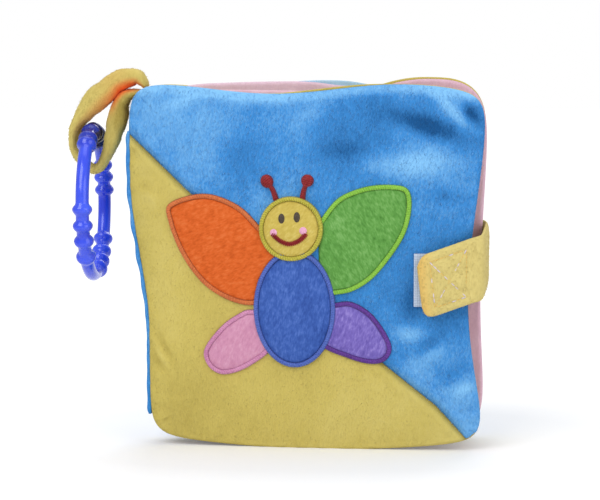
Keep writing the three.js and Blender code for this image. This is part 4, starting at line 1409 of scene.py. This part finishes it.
@dataclass
class ClosureTab:
    """The tab that wraps the fore-edge, its box of stitches and its two patches, in millimetres."""

    board: Board
    back: Board
    sewing: Sewing
    height: float = 29.0
    reach: float = 26.0
    drop: float = 9.0
    end_slant: float = 2.2
    thickness: float = 2.4
    corner: float = 5.0
    centre_up: float = 0.505 * HEIGHT
    fold_across: float = WIDTH - Form.COVER.value.draw_in + 3.9
    bow: float = 3.2
    lift: float = 2.7
    climb: float = 4.5
    seam_gap: float = 0.3
    base: float = 1.15
    end_warm: float = 0.55
    warm_reach: float = 4.5
    dent: float = 0.55
    front_lift: float = 5.0
    tape_past: float = 1.6
    tape_thickness: float = 0.75
    stitch_pitch: float = 2.2

    def band_plan(self) -> np.ndarray:
        """Returns the wrap's middle line seen from above, in the front cover's frame."""
        turns = [b.step * b.fan for b in (self.back, self.board)]
        half = self.thickness / 2
        share = (self.centre_up + self.height / 2) / HEIGHT
        edge = float(self.back.fore_edge(share)) + 2 * self.seam_gap + half
        seam = np.array([math.cos(turns[0]) * edge,
                         math.sin(turns[0]) * edge + self.back.step * self.back.pitch])
        fold = np.array([self.fold_across + self.seam_gap + half, -(self.base + self.lift)])
        spot = np.array([math.cos(turns[1]) * fold[0] - math.sin(turns[1]) * fold[1],
                         math.sin(turns[1]) * fold[0] + math.cos(turns[1]) * fold[1]])
        spot[1] += self.board.step * self.board.pitch
        plan = np.array([seam, (spot[0] + self.bow / 2, seam[1] - self.thickness), (spot[0] + self.bow, 0.0),
                         (spot[0] + self.bow / 2, spot[1] + 2 * self.thickness), (spot[0], spot[1] - half)])
        off = plan - np.array([0.0, self.board.step * self.board.pitch])
        return np.stack([off @ [math.cos(turns[1]), math.sin(turns[1])],
                         off @ [-math.sin(turns[1]), math.cos(turns[1])]], axis=1)

    def grid(self, rows: int = 41, columns: int = 130) -> tuple[np.ndarray, np.ndarray, np.ndarray]:
        """Returns the band's middle surface, its places across, and the distance along it to the free end."""
        across = np.sin(np.linspace(-1, 1, rows) * math.pi / 2)
        wrap = smooth_curve(self.band_plan(), 60)
        wrap_run = np.linalg.norm(np.diff(wrap, axis=0), axis=1).sum()
        total = wrap_run + self.reach
        place = total * np.linspace(0, 1, columns)
        points = np.zeros((rows, columns, 3))
        for i, v in enumerate(across):
            reach = self.reach - self.end_slant * (1 - v) / 2
            stretch = np.where(place <= wrap_run, place, wrap_run + (place - wrap_run) * reach / self.reach)
            for j, s in enumerate(stretch):
                past = s - wrap_run
                if past <= 0:
                    share = s / wrap_run * (len(wrap) - 1)
                    k = min(int(share), len(wrap) - 2)
                    x, y = wrap[k] + (wrap[k + 1] - wrap[k]) * (share - k)
                    ease = min(1.0, -past / (wrap_run * 0.55))
                    z = self.centre_up + v * self.height / 2 + self.climb * ease * (2 - ease)
                else:
                    x = self.fold_across - past
                    corner = self.corner - 0.6 + 1.6 * (1 - v) / 2
                    rest = max(0.0, past - (reach - corner)) / corner
                    half = self.height / 2 - corner * (1 - math.sqrt(max(0.0, 1 - rest ** 2)))
                    z = self.centre_up + v * half - self.drop * past / self.reach
                    y = -(self.sewing.lift(x, z) + self.lift + self.thickness / 2)
                points[i, j] = (x, y, z)
        for _ in range(5):
            points[:, 1:-1] = (points[:, :-2] + 2 * points[:, 1:-1] + points[:, 2:]) / 4
        return points, across, total - place

    def build(self) -> None:
        """Makes the band in one piece, its stitches and the patches."""
        points, across, left = self.grid()
        normal = grid_normals(points)
        normal *= -np.sign(normal[len(across) // 2, -20, 1])
        rounded = (1 - np.abs(across) ** 5)[:, None] ** 0.5
        tip = np.sqrt(np.clip(left / self.thickness, 0, 1))[None, :]
        half = self.thickness / 2 * np.maximum(rounded * tip, 0.02)
        puff = 1.15 + 0.06 * ripples(points[..., 0] + points[..., 1], points[..., 2], 14, 5)
        dent = self.stitch_dent(points)
        outer = points + normal * (half * puff - dent * rounded * tip)[..., None]
        inner = points - normal * half[..., None]
        warm = self.end_warm * hill(left[None, :], 0, self.warm_reach) * (0.8 + 0.2 * across[:, None] ** 2)
        warm = np.concatenate([warm.reshape(-1), np.zeros(warm.size)])
        closed = slab(self.board.place(outer), self.board.place(inner))
        piece = new_piece("closure_tab_plush", *closed, {"warm": warm})
        self.settle(piece)
        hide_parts("closure_tab_wrap", "closure_tab_end")
        ways = np.zeros_like(outer) + np.array([-0.3, 0.0, -1.0])
        fibres, spikes, _ = Pile(1.2, 0.9, 0.09, 0.35, 1.2).grow(outer, normal, ways, 31)
        self.settle(new_piece("closure_tab_pile", self.board.place(fibres), spikes))
        self.stitches()
        self.patches()

    def settle(self, piece: bpy.types.Object) -> None:
        """Dresses a piece of the band and fixes its transform into its mesh."""
        self.sewing.wardrobe.dress(piece, Finish.TAB_YELLOW)
        bend = self.board.place(np.array([[self.fold_across + 2.5, -8.0, self.centre_up],
                                          [self.fold_across - 3.0, -9.0, self.centre_up]]))
        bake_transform(piece)
        LOG.info("%s: %d faces", piece.name, len(piece.data.polygons))

    def box_lines(self) -> list[np.ndarray]:
        """Returns the lines of the box and its cross of stitches, as x, z on the cover."""
        top, low = self.centre_up + self.height / 2 - 4.2, self.centre_up - self.height / 2 + 3.8
        near, far = self.fold_across - 4.5, self.fold_across - self.reach + 5.5
        slope = self.drop / self.reach
        corners = [np.array([x, z - slope * (self.fold_across - x)]) for x, z in
                   ((far, top), (near, top), (near, low), (far + 2.5, low))]
        lines = [np.linspace(a, b, 40) for a, b in zip(corners, corners[1:] + corners[:1])]
        return lines + [np.linspace(corners[0], corners[2], 40), np.linspace(corners[1], corners[3], 40)]

    def stitch_dent(self, points: np.ndarray) -> np.ndarray:
        """Returns how far the stitches pull the tab's outside in."""
        flat = points[..., [0, 2]]
        fold = np.linspace([self.fold_across - 1.0, self.centre_up - self.height / 2 + 1],
                           [self.fold_across - 2.0, self.centre_up + self.height / 2 - 1], 40)
        near = np.full(flat.shape[:-1], 99.0)
        for line in [*self.box_lines(), fold]:
            for spot in line[::2]:
                near = np.minimum(near, np.linalg.norm(flat - spot, axis=2))
        return np.where(points[..., 1] < -self.front_lift, self.dent * hill(near, 0, 1.0), 0)

    def stitches(self) -> None:
        """Makes the stitches as short threads, most in gold and a few worn pale."""
        chance = random.Random(12)
        made = {Finish.GOLD_THREAD: ([], []), Finish.LILAC_THREAD: ([], [])}
        angle = np.linspace(0, 2 * math.pi, 7)[:-1]
        for number, line in enumerate(self.box_lines()):
            length = np.linalg.norm(line[-1] - line[0])
            way = (line[-1] - line[0]) / length
            aside = np.array([-way[1], way[0]])
            for k in range(int(length / self.stitch_pitch)):
                pale = chance.random() < (0.1 if number < 4 else 0.45)
                points, faces = made[Finish.LILAC_THREAD if pale else Finish.GOLD_THREAD]
                thick, sunk = (0.28, 0.88) if pale else (0.24, 0.84)
                rows = []
                for n, along in enumerate(np.linspace(0.1, 2.1, 5)):
                    spot = line[0] + way * (k * self.stitch_pitch + along)
                    radius = thick * math.sqrt(max(0.15, 1 - ((n - 2) / 2.2) ** 2))
                    flat = np.array([spot + aside * radius * math.cos(a) for a in angle])
                    base = self.lift + self.thickness * sunk
                    rows.append(self.sewing.put(flat, np.array([base + radius * math.sin(a) for a in angle])))
                thread_points, thread_faces = tube(np.array(rows), False)
                first = sum(len(p) for p in points)
                points.append(thread_points)
                faces.extend(tuple(v + first for v in f) for f in thread_faces)
        for finish, (points, faces) in made.items():
            piece = new_piece("closure_tab_" + finish.value.name, np.concatenate(points), faces)
            self.sewing.wardrobe.dress(piece, finish)
            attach(piece, "tab_end")

    def patches(self) -> None:
        """Makes the loop patch on the cover and the hook patch under the tab."""
        far = self.fold_across - self.reach - self.tape_past
        top = self.centre_up + self.height / 2 - self.drop + self.tape_past
        for name, node, body, low, box in (
                ("loop_tape", "loop_patch", "front_cover", 0.3, (far, far + 21.5, top - 24, top - 0.5)),
                ("hook_tape", "hook_patch", "tab_end", 1.5, (far + 5.6, far + 22.0, top - 21.5, top - 4.5))):
            x, z = np.meshgrid(np.linspace(box[0], box[1], 40), np.linspace(box[2], box[3], 40))
            if node == "hook_patch":
                z = z + (x - box[0]) * 0.3
            places = np.stack([x, z], axis=-1)
            rim = np.minimum(np.minimum(x - box[0], box[1] - x), 1.0)
            outside = self.sewing.put(places, low + self.tape_thickness + 0.15 * rim)
            inside = self.sewing.put(places, np.full(x.shape, low))
            piece = new_piece(name, *slab(outside, inside))
            self.sewing.wardrobe.dress(piece, Finish.TAPE)
            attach(piece, body)
            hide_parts(node)


# Spine, loop and ring


@dataclass
class Spine:
    """The cloth panels between the boards, each lying at one joint, in millimetres."""

    origin: tuple[float, float]
    wardrobe: Wardrobe
    pitch: float = PITCH
    foot: float = 14.0
    top: float = 142.0
    cloth: float = 0.8
    bulge: float = 0.4
    end: float = 1.3
    columns: int = 15
    rows: int = 90
    rounding: float = 3.0
    behind: float = 0.5
    inset: float = 0.3

    def panel(self, name: str, span: tuple[float, float], bodies: tuple[str, str], node: str | None) -> None:
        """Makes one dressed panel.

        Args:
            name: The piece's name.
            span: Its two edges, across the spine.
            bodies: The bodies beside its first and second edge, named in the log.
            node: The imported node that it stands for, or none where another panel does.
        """
        start, stop = span
        grid_y, grid_z = np.meshgrid(np.linspace(start, stop, self.columns),
                                     np.linspace(self.foot, self.top, self.rows))
        share = (grid_y - start) / (stop - start)
        edge = spine_edge(grid_z / HEIGHT)
        ends = np.clip(np.minimum(grid_z - self.foot, self.top - grid_z) / self.rounding, 0, 1) ** 0.5
        swell = self.bulge * np.sin(math.pi * share) + 0.2 * ripples(grid_y, grid_z, 13, 9)
        thick = (self.cloth + swell) * (0.25 + 0.75 * ends)
        outer = np.stack([edge - self.inset - thick, grid_y, grid_z], axis=-1)
        inner = np.stack([edge + self.behind, grid_y, grid_z], axis=-1)
        shift = np.array([self.origin[0], self.origin[1], 0])
        piece = new_piece(name, *slab((outer + shift) * MM, (inner + shift) * MM))
        self.wardrobe.dress(piece, Finish.BLUE)
        middle = self.top * MM / 2
        self.origin[0] * MM
        (self.origin[1] + start) * MM
        self.origin[0] * MM
        (self.origin[1] + stop) * MM
        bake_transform(piece)
        if node:
            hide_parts(node)
        LOG.info("%s bends between %s and %s", name, *bodies)

    def build(self) -> None:
        """Makes the two gutters and the two halves of the middle panel."""
        edge, half = 1.5 * self.pitch + self.end, 0.5 * self.pitch
        self.panel("front_gutter_plush", (-edge, -half), ("front_cover", "page_1"), "front_gutter_cloth")
        self.panel("spine_plush_front", (-half, 0.0), ("page_1", "spine"), "spine_cloth")
        self.panel("spine_plush_back", (0.0, half), ("spine", "page_2"), None)
        self.panel("back_gutter_plush", (half, edge), ("page_2", "back_cover"), "back_gutter_cloth")


@dataclass
class LoopStrap:
    """The padded loop at the top of the spine, in millimetres."""

    origin: tuple[float, float]
    wardrobe: Wardrobe
    width: float = 16.0
    thickness: float = 10.8
    root_width: float = 8.0
    reach: float = 25.3
    drop: float = 38.2
    squareness: float = 2.6
    sections: int = 190
    sides: int = 44
    run: float = 150.0
    crease: float = 0.045
    crease_length: float = 9.0
    pinch: float = 0.05
    pinch_width: float = 0.12
    route: tuple = ((-0.3, 0.037, 0.22), (-0.249, -0.016, 0.41), (-0.142, -0.076, 0.63), (0.043, -0.065, 0.8),
                    (0.245, -0.008, 0.91), (0.403, 0.084, 0.96), (0.609, 0.186, 1), (0.802, 0.34, 0.72),
                    (0.929, 0.461, 0.5), (0.992, 0.563, 0.41), (1, 0.704, 0.36), (0.968, 0.793, 0.36),
                    (0.854, 0.916, 0.36), (0.739, 0.982, 0.37), (0.601, 1, 0.41), (0.482, 0.914, 0.35),
                    (0.348, 0.712, 0.57), (0.261, 0.503, 0.76), (0.198, 0.356, 0.8), (0.158, 0.233, 0.63),
                    (0.051, 0.139, 0.52), (-0.107, 0.113, 0.35), (-0.3, 0.107, 0.2))

    def build(self) -> None:
        """Makes the loop as one padded band whose edges are rounded seams."""
        line = smooth_curve([(-a * self.reach, HEIGHT - d * self.drop, f) for a, d, f in self.route], self.sections)
        spots, fullness = line[:, :2], line[:, 2]
        tangent = np.gradient(spots, axis=0)
        tangent /= np.linalg.norm(tangent, axis=1)[:, None]
        aside = np.stack([-tangent[:, 1], tangent[:, 0]], axis=1)
        angle = 2 * math.pi * (np.arange(self.sides) + 0.5) / self.sides
        share = np.linspace(0, 1, len(line))[:, None]
        wide = (self.root_width + (self.width - self.root_width) * np.sqrt(np.sin(math.pi * share))) / 2
        thick = self.thickness * fullness[:, None] / 2
        w = (np.sign(np.cos(angle)) * np.abs(np.cos(angle)) ** (2 / self.squareness))[None, :]
        t = (np.sign(np.sin(angle)) * np.abs(np.sin(angle)) ** (2 / self.squareness))[None, :]
        place = share * self.run
        crease = 1 + self.crease * ripples(place + 0 * t, w * self.width / 2 + 3 * t, self.crease_length, 17)
        pinch = 1 - self.pinch * hill(w, 1, self.pinch_width) - self.pinch * hill(w, -1, self.pinch_width)
        out = thick * t * crease * pinch
        grid = np.stack([spots[:, :1] + aside[:, :1] * out, wide * w * (1 + 0.03 * (crease - 1)),
                         spots[:, 1:] + aside[:, 1:] * out], axis=-1)
        inner = np.clip(t, 0, 1) + 0 * share
        # Painted warm reflection on the inner face near both ends, where the yellow cloth faces itself, and faintly
        # part way round.
        warm = inner * (hill(share, 0.1, 0.11) + 0.9 * hill(share, 0.91, 0.06))
        warm += 0.28 * inner * hill(share, 0.3, 0.12)
        warm = np.clip(warm * 1.25 + 0.1 * hill(share, 0.14, 0.07), 0, 1)
        # Painted shade near the far end, except on the inner face, and a little along both edges of the strap.
        nap = -0.9 * hill(share, 0.86, 0.1) * np.clip(-t + 0.9, 0, 1)
        nap = nap - 0.15 * hill(np.abs(w), 1, 0.25)
        shift = np.array([self.origin[0], self.origin[1], 0])
        told = {"warm": warm, "nap": nap}
        self.settle(new_piece("loop_strap_plush", *tube((grid + shift) * MM, False), told), True)
        wrapped = np.concatenate([grid, grid[:, :1]], axis=1)
        centre = np.stack([spots[:, 0], 0 * spots[:, 0], spots[:, 1]], axis=1)[:, None, :]
        normals = wrapped - centre
        normals /= np.linalg.norm(normals, axis=2, keepdims=True)
        ways = np.stack([tangent[:, 0], 0 * share[:, 0], tangent[:, 1]], axis=1)[:, None, :] + 0 * wrapped
        fibres, spikes, at = Pile(1.4, 0.9, 0.08, 0.4, 0.9).grow(wrapped, normals, ways, 41)
        told = {key: Pile.between(np.concatenate([tone, tone[:, :1]], axis=1), at[:, 0], at[:, 1])
                for key, tone in told.items()}
        self.settle(new_piece("loop_strap_pile", (fibres + shift) * MM, spikes, told), False)

    def settle(self, piece: bpy.types.Object, main: bool) -> None:
        """Dresses a piece of the loop and fixes its transform into its mesh."""
        self.wardrobe.dress(piece, Finish.LOOP_YELLOW)
        (self.origin[0] + 7.5) * MM
        self.origin[1] * MM
        (self.origin[0] + 2.0) * MM
        self.origin[1] * MM
        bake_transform(piece)
        if main:
            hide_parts("loop_strap")
        LOG.info("%s: %d faces", piece.name, len(piece.data.polygons))


@dataclass
class LinkRing:
    """The moulded link ring: a torus that swells into ribs, in millimetres."""

    wardrobe: Wardrobe
    centre: tuple[float, float, float]
    radius: float = 32.2
    tube: float = 2.95
    rib: float = 4.45
    rib_half: float = 2.3
    segments: int = 432
    sides: int = 28
    shade_reach: float = 1.2
    shade_inside: float = 0.93
    shade_outside: float = 0.6
    shade_middle: float = -2.0
    shade_half: float = 36.0
    ribs: tuple = (-163, -150, -138, -125, -83, -72, -61, -29, -16, -3, 10, 25, 33, 91, 104, 117, 133)

    def build(self) -> None:
        """Makes the ring from a torus by fattening its sections at each rib."""
        bpy.ops.object.select_all(action="DESELECT")
        bpy.ops.mesh.primitive_torus_add(
            major_segments=self.segments, minor_segments=self.sides, major_radius=self.radius * MM,
            minor_radius=self.tube * MM, location=self.centre, rotation=(0, math.pi / 2, 0))
        ring = bpy.context.object
        ring.name = "link_ring_moulding"
        bpy.ops.object.transform_apply(location=True, rotation=True, scale=True)
        middle = Vector(self.centre)
        shadow = []
        for vertex in ring.data.vertices:
            off = vertex.co - middle
            angle = math.degrees(math.atan2(-off.y, off.z))
            core = middle + Vector((0, off.y, off.z)).normalized() * self.radius * MM
            vertex.co = core + (vertex.co - core) * self.swell_at(angle)
            inward = math.hypot(off.y, off.z) < (self.radius + self.shade_reach) * MM
            most = self.shade_inside if inward else self.shade_outside
            shadow.append(most * math.exp(-((angle - self.shade_middle) / self.shade_half) ** 6))
        layer = ring.data.attributes.new("shadow", "FLOAT", "POINT")
        layer.data.foreach_set("value", shadow)
        bpy.ops.object.shade_smooth()
        self.wardrobe.dress(ring, Finish.RING)
        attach(ring, "link_ring")
        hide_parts("link_ring")
        LOG.info("%s: %d faces", ring.name, len(ring.data.polygons))

    def swell_at(self, angle: float) -> float:
        """Returns how much thicker the tube is at an angle from the ring's top, in degrees."""
        most = 0.0
        for rib in self.ribs:
            off = abs((angle - rib + 180) % 360 - 180)
            reach = off * math.radians(1) * self.radius / self.rib_half
            most = max(most, math.cos(min(1.0, reach) * math.pi / 2) ** 0.8)
        return 1 + (self.rib / self.tube - 1) * most


# Studio


@dataclass
class Studio:
    """The white floor, the soft lamps and the camera."""

    azimuth: float = math.radians(2.5)
    elevation: float = math.radians(7.0)
    distance: float = 0.9031
    target: tuple[float, float, float] = (0.0041, -0.02, 0.0643)
    sensor: float = 36.0
    picture_width: int = 600
    focal_pixels: float = 2005.55
    shift_pixels: tuple[float, float] = (-23.5, 54.5)

    def camera(self) -> None:
        """Sets the camera at the photograph's angle."""
        data = bpy.data.cameras.new("camera")
        data.lens, data.sensor_width = self.focal_pixels * self.sensor / self.picture_width, self.sensor
        data.shift_x, data.shift_y = (pixels / self.picture_width for pixels in self.shift_pixels)
        data.clip_start, data.clip_end = 0.02, 20
        camera = bpy.data.objects.new("camera", data)
        back = Vector((math.sin(self.azimuth) * math.cos(self.elevation),
                       -math.cos(self.azimuth) * math.cos(self.elevation), math.sin(self.elevation)))
        camera.location = Vector(self.target) + back * self.distance
        camera.rotation_mode = "QUATERNION"
        camera.rotation_quaternion = (-back).to_track_quat("-Z", "Y")
        bpy.context.scene.collection.objects.link(camera)
        bpy.context.scene.camera = camera

    def lamp(self, name: str, place: tuple, size: float, power: float) -> None:
        """Adds a square soft lamp that faces the book."""
        data = bpy.data.lights.new(name, "AREA")
        data.shape, data.size, data.energy = "SQUARE", size, power
        lamp = bpy.data.objects.new(name, data)
        lamp.location = place
        lamp.rotation_mode = "QUATERNION"
        lamp.rotation_quaternion = (Vector((0, 0, 0.08)) - Vector(place)).to_track_quat("-Z", "Y")
        bpy.context.scene.collection.objects.link(lamp)

    def floor(self) -> None:
        """Adds the floor, white to the camera but for the book's shadow close by."""
        bpy.ops.object.select_all(action="DESELECT")
        bpy.ops.mesh.primitive_plane_add(size=12, location=(0, 0, 0))
        floor = bpy.context.object
        floor.name = "floor"
        recipe = Recipe("floor_white")
        path = recipe.node("ShaderNodeLightPath")
        seen = Value(recipe, path.outputs["Is Camera Ray"])
        drawn = recipe.node("ShaderNodeVectorMath", {"operation": "MULTIPLY"}, {0: recipe.coords, 1: (0.6, 1.0, 1.0)})
        away = recipe.node("ShaderNodeVectorMath", {"operation": "LENGTH"}, {0: drawn.outputs[0]}).outputs["Value"]
        far = recipe.node("ShaderNodeMapRange", None, {0: away, 1: 0.08, 2: 0.17, 3: 0.12, 4: 1.0}).outputs[0]
        matt = recipe.node("ShaderNodeBsdfDiffuse", None, {"Color": (0.9, 0.9, 0.9)})
        glow = recipe.node("ShaderNodeEmission", None, {"Color": (1.0, 1.0, 1.0), "Strength": 1.15})
        mix = recipe.node("ShaderNodeMixShader", None, {0: seen * Value(recipe, far), 1: matt.outputs[0],
                                                        2: glow.outputs[0]})
        recipe.node("ShaderNodeOutputMaterial", None, {"Surface": mix.outputs[0]})
        floor.data.materials.append(recipe.material)

    def world(self) -> None:
        """Lights the book evenly from all round, and shows white behind it."""
        world = bpy.data.worlds.new("studio")
        world.use_nodes = True
        tree = world.node_tree
        tree.nodes.clear()
        path = tree.nodes.new("ShaderNodeLightPath")
        soft = tree.nodes.new("ShaderNodeBackground")
        soft.inputs[0].default_value, soft.inputs[1].default_value = (0.95, 0.97, 1.0, 1.0), 0.55
        white = tree.nodes.new("ShaderNodeBackground")
        white.inputs[0].default_value, white.inputs[1].default_value = (1.0, 1.0, 1.0, 1.0), 1.0
        mix = tree.nodes.new("ShaderNodeMixShader")
        out = tree.nodes.new("ShaderNodeOutputWorld")
        tree.links.new(path.outputs["Is Camera Ray"], mix.inputs[0])
        tree.links.new(soft.outputs[0], mix.inputs[1])
        tree.links.new(white.outputs[0], mix.inputs[2])
        tree.links.new(mix.outputs[0], out.inputs[0])
        bpy.context.scene.world = world

    def build(self) -> None:
        """Sets up the whole studio."""
        self.camera()
        self.floor()
        self.world()
        self.lamp("key", (-0.55, -0.9, 1.0), 0.9, 9.0)
        self.lamp("fill", (0.9, -0.8, 0.5), 0.9, 4.0)
        self.lamp("top", (0.0, 0.2, 1.3), 1.0, 4.0)
        self.lamp("back", (0.2, 1.1, 0.9), 0.9, 6.0)
        bpy.context.scene.view_settings.view_transform = "Standard"


# The book


def make_cover(origin: tuple[float, float], wardrobe: Wardrobe) -> FrontCover:
    """Returns the front cover with its folds, its swathes of pile and its painted shade and highlights, ready to build.
    """
    folds = (
        Stroke(7.2, 116.6, 3.5, 2.2, 1.1, -0.8), Stroke(9.8, 113.0, 5.0, 2.0, -0.9, -0.8),
        Stroke(16.3, 45.0, 8.0, 1.6, 1.1, -1.02), Stroke(14.5, 41.4, 7.0, 1.2, -0.8, -1.02),
        Stroke(13.1, 38.0, 4.5, 1.3, 0.9, -1.05), Stroke(134.2, 144.9, 15.0, 4.5, 1.0, -0.33),
        Stroke(130.0, 130.0, 17.0, 6.0, -0.7, 0.05), Stroke(153.2, 150.3, 5.0, 3.0, 0.9, -0.9),
        Stroke(145.1, 151.7, 13.0, 3.0, -0.7, -0.76), Stroke(96.7, 135.0, 12.0, 4.0, 0.4, 0.05),
        Stroke(146.4, 35.5, 8.0, 4.0, 0.5, 0.4), Stroke(128.0, 52.0, 8.0, 4.0, -0.5, 0.0),
        Stroke(135.0, 48.0, 8.0, 3.0, 0.4, 0.6), Stroke(151.4, 27.0, 6.0, 4.0, -0.5, 0.3),
    )
    # Swathes of the blue pile, with painted shade and painted highlights, many of them following the folds above.
    nap = (
        Stroke(134.2, 144.9, 16.0, 4.2, -1.0, -0.33), Stroke(153.2, 150.3, 5.0, 2.8, -0.8, -0.9),
        Stroke(145.1, 151.7, 13.0, 2.6, 0.5, -0.76), Stroke(129.3, 128.1, 17.0, 5.0, 0.55, 0.05),
        Stroke(96.7, 133.1, 14.0, 4.5, -0.3, 0.05), Stroke(141.5, 114.1, 9.0, 4.0, -0.45, -0.1),
        Stroke(25.8, 155.7, 9.0, 3.0, 0.6, 0.4), Stroke(16.7, 161.0, 6.0, 2.0, -0.4, 0.0),
        Stroke(80.5, 148.9, 12.0, 5.0, 0.5, 0.66), Stroke(54.7, 151.2, 14.0, 5.0, -0.2, 0.1),
        Stroke(41.1, 120.0, 13.0, 4.0, 0.05, 0.4), Stroke(126.6, 53.6, 6.0, 3.0, 0.5, 0.0),
        Stroke(135.1, 49.5, 8.0, 3.0, -0.2, 0.6), Stroke(135.1, 42.7, 13.0, 3.0, 0.35, 0.43),
        Stroke(143.0, 38.0, 16.0, 9.0, 0.22, 0.6), Stroke(112.5, 128.0, 9.0, 5.0, 0.3, 0.1),
        # Painted shadow below the tab's free end.
        Stroke(127.0, 67.0, 4.0, 9.0, -0.55, 0.0),
        Stroke(146.4, 35.5, 7.0, 3.5, -0.2, 0.4), Stroke(151.4, 28.3, 6.0, 3.0, 0.45, 0.3),
    )
    # rim gives a painted highlight along the top edge and painted shade along the spine.
    outside = Face(6.0, 0.7, 0.5, 4, folds, nap, rim=0.9, calm=True)
    lining = Face(2.1, 0.4, 0.3, 8, crest=((0.4, 0.0), (0.5, 0.9), (0.62, 1.0), (0.74, 0.2)))
    return FrontCover(Board("front_cover", -1.5, Form.COVER, origin), wardrobe, outside, lining)


@dataclass(frozen=True)
class Leaf:
    """A page or the back cover: its place in the row of boards and the look of its two sides."""

    name: str
    step: float
    form: Form
    front: Face
    back: Face
    front_look: tuple[str, Finish, str, Pile | None]
    back_look: tuple[str, Finish, str, Pile | None]

    def make(self, origin: tuple[float, float], wardrobe: Wardrobe, nodes: dict[str, bpy.types.Object]) -> None:
        """Makes both cloths and dresses the wadding and film between them.

        Args:
            origin: Where the hinge axes' middle stands, across and deep, in millimetres.
            wardrobe: The finishes made so far.
            nodes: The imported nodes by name.
        """
        padded = PaddedBoard(Board(self.name, self.step, self.form, origin), wardrobe, self.front, self.back)
        for look, face, towards in ((self.front_look, self.front, 1), (self.back_look, self.back, -1)):
            part, finish, slot, pile = look
            padded.cloth(self.name + "_" + part, face, towards, finish, slot, pile)
        padded.fill(nodes)


def list_leaves() -> tuple[Leaf, ...]:
    """Returns the pages and the back cover, in the order in which they are made."""
    first_front = ((0.0, -2.0), (0.5, -3.0), (0.68, -2.0), (0.78, 2.2), (0.93, 3.1), (1, 1.5))
    first_back = ((0.0, -2.0), (0.5, -3.0), (0.66, -2.0), (0.77, 3.0), (0.93, 3.9), (1, 2.0))
    second_front = ((0.1, -1.8), (0.18, 0.0), (0.35, 0.9), (0.5, 1.2), (0.6, -1.2), (1, 0.6))
    second_back = ((0.1, -2.6), (0.4, 0.4), (0.52, 1.7), (0.62, 1.4), (0.7, -1.6), (1, 0.2))
    return (
        Leaf("page_1", -0.5, Form.PAGE, Face(2.1, 0.5, 0.4, 11, crest=first_front),
             Face(2.1, 0.5, 0.4, 13, crest=first_back),
             ("front_cloth", Finish.PINK, "pink_cloth", None), ("back_cloth", Finish.YELLOW, "yellow_plush", None)),
        Leaf("page_2", 0.5, Form.PAGE, Face(2.1, 0.5, 0.4, 17, crest=second_front),
             Face(2.1, 0.5, 0.4, 19, crest=second_back),
             ("front_cloth", Finish.ROSE, "rose_cloth", None), ("back_cloth", Finish.SKY, "sky_cloth", None)),
        Leaf("back_cover", 1.5, Form.COVER, Face(2.1, 0.4, 0.3, 23), Face(5.0, 0.7, 0.6, 29),
             ("lining", Finish.YELLOW, "yellow_plush", None),
             ("outer_cloth", Finish.BLUE, "blue_plush", Pile(0.5))),
    )


def main(frame: dict) -> None:
    """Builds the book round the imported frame.
    """
    logging.basicConfig(level=logging.INFO, format="%(message)s")
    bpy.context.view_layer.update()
    Studio().build()
    joints = {joint["name"]: joint for joint in frame["joints"]}
    hinge = joints["back_cover_hinge"]["pos_m"]
    origin = (hinge[0] / MM, hinge[1] / MM - PITCH)
    wardrobe = Wardrobe()
    cover = make_cover(origin, wardrobe)
    sewing = Sewing(cover.board, cover.surface(), wardrobe)
    butterfly = Butterfly()
    blue, yellow = Pile(1.1, 1.4), Pile(0.9, 0.8, 0.08)
    bare = butterfly.covered
    cover.panel("front_cover_blue_panel", True, Finish.BLUE, "blue_plush", blue, bare)
    cover.panel("front_cover_yellow_panel", False, Finish.YELLOW, "yellow_plush", yellow, bare)
    cover.cloth("front_cover_lining", cover.back, -1, Finish.YELLOW, "yellow_plush")
    cover.fill(frame["nodes"])
    for leaf in list_leaves():
        leaf.make(origin, wardrobe, frame["nodes"])
    butterfly.build(sewing)
    ClosureTab(cover.board, Board("back_cover", 1.5, Form.COVER, origin), sewing).build()
    Spine(origin, wardrobe).build()
    LoopStrap(origin, wardrobe).build()
    LinkRing(wardrobe, tuple(joints["link_ring_spin"]["pos_m"])).build()
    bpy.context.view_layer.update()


if __name__ == "__main__":
    main(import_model())
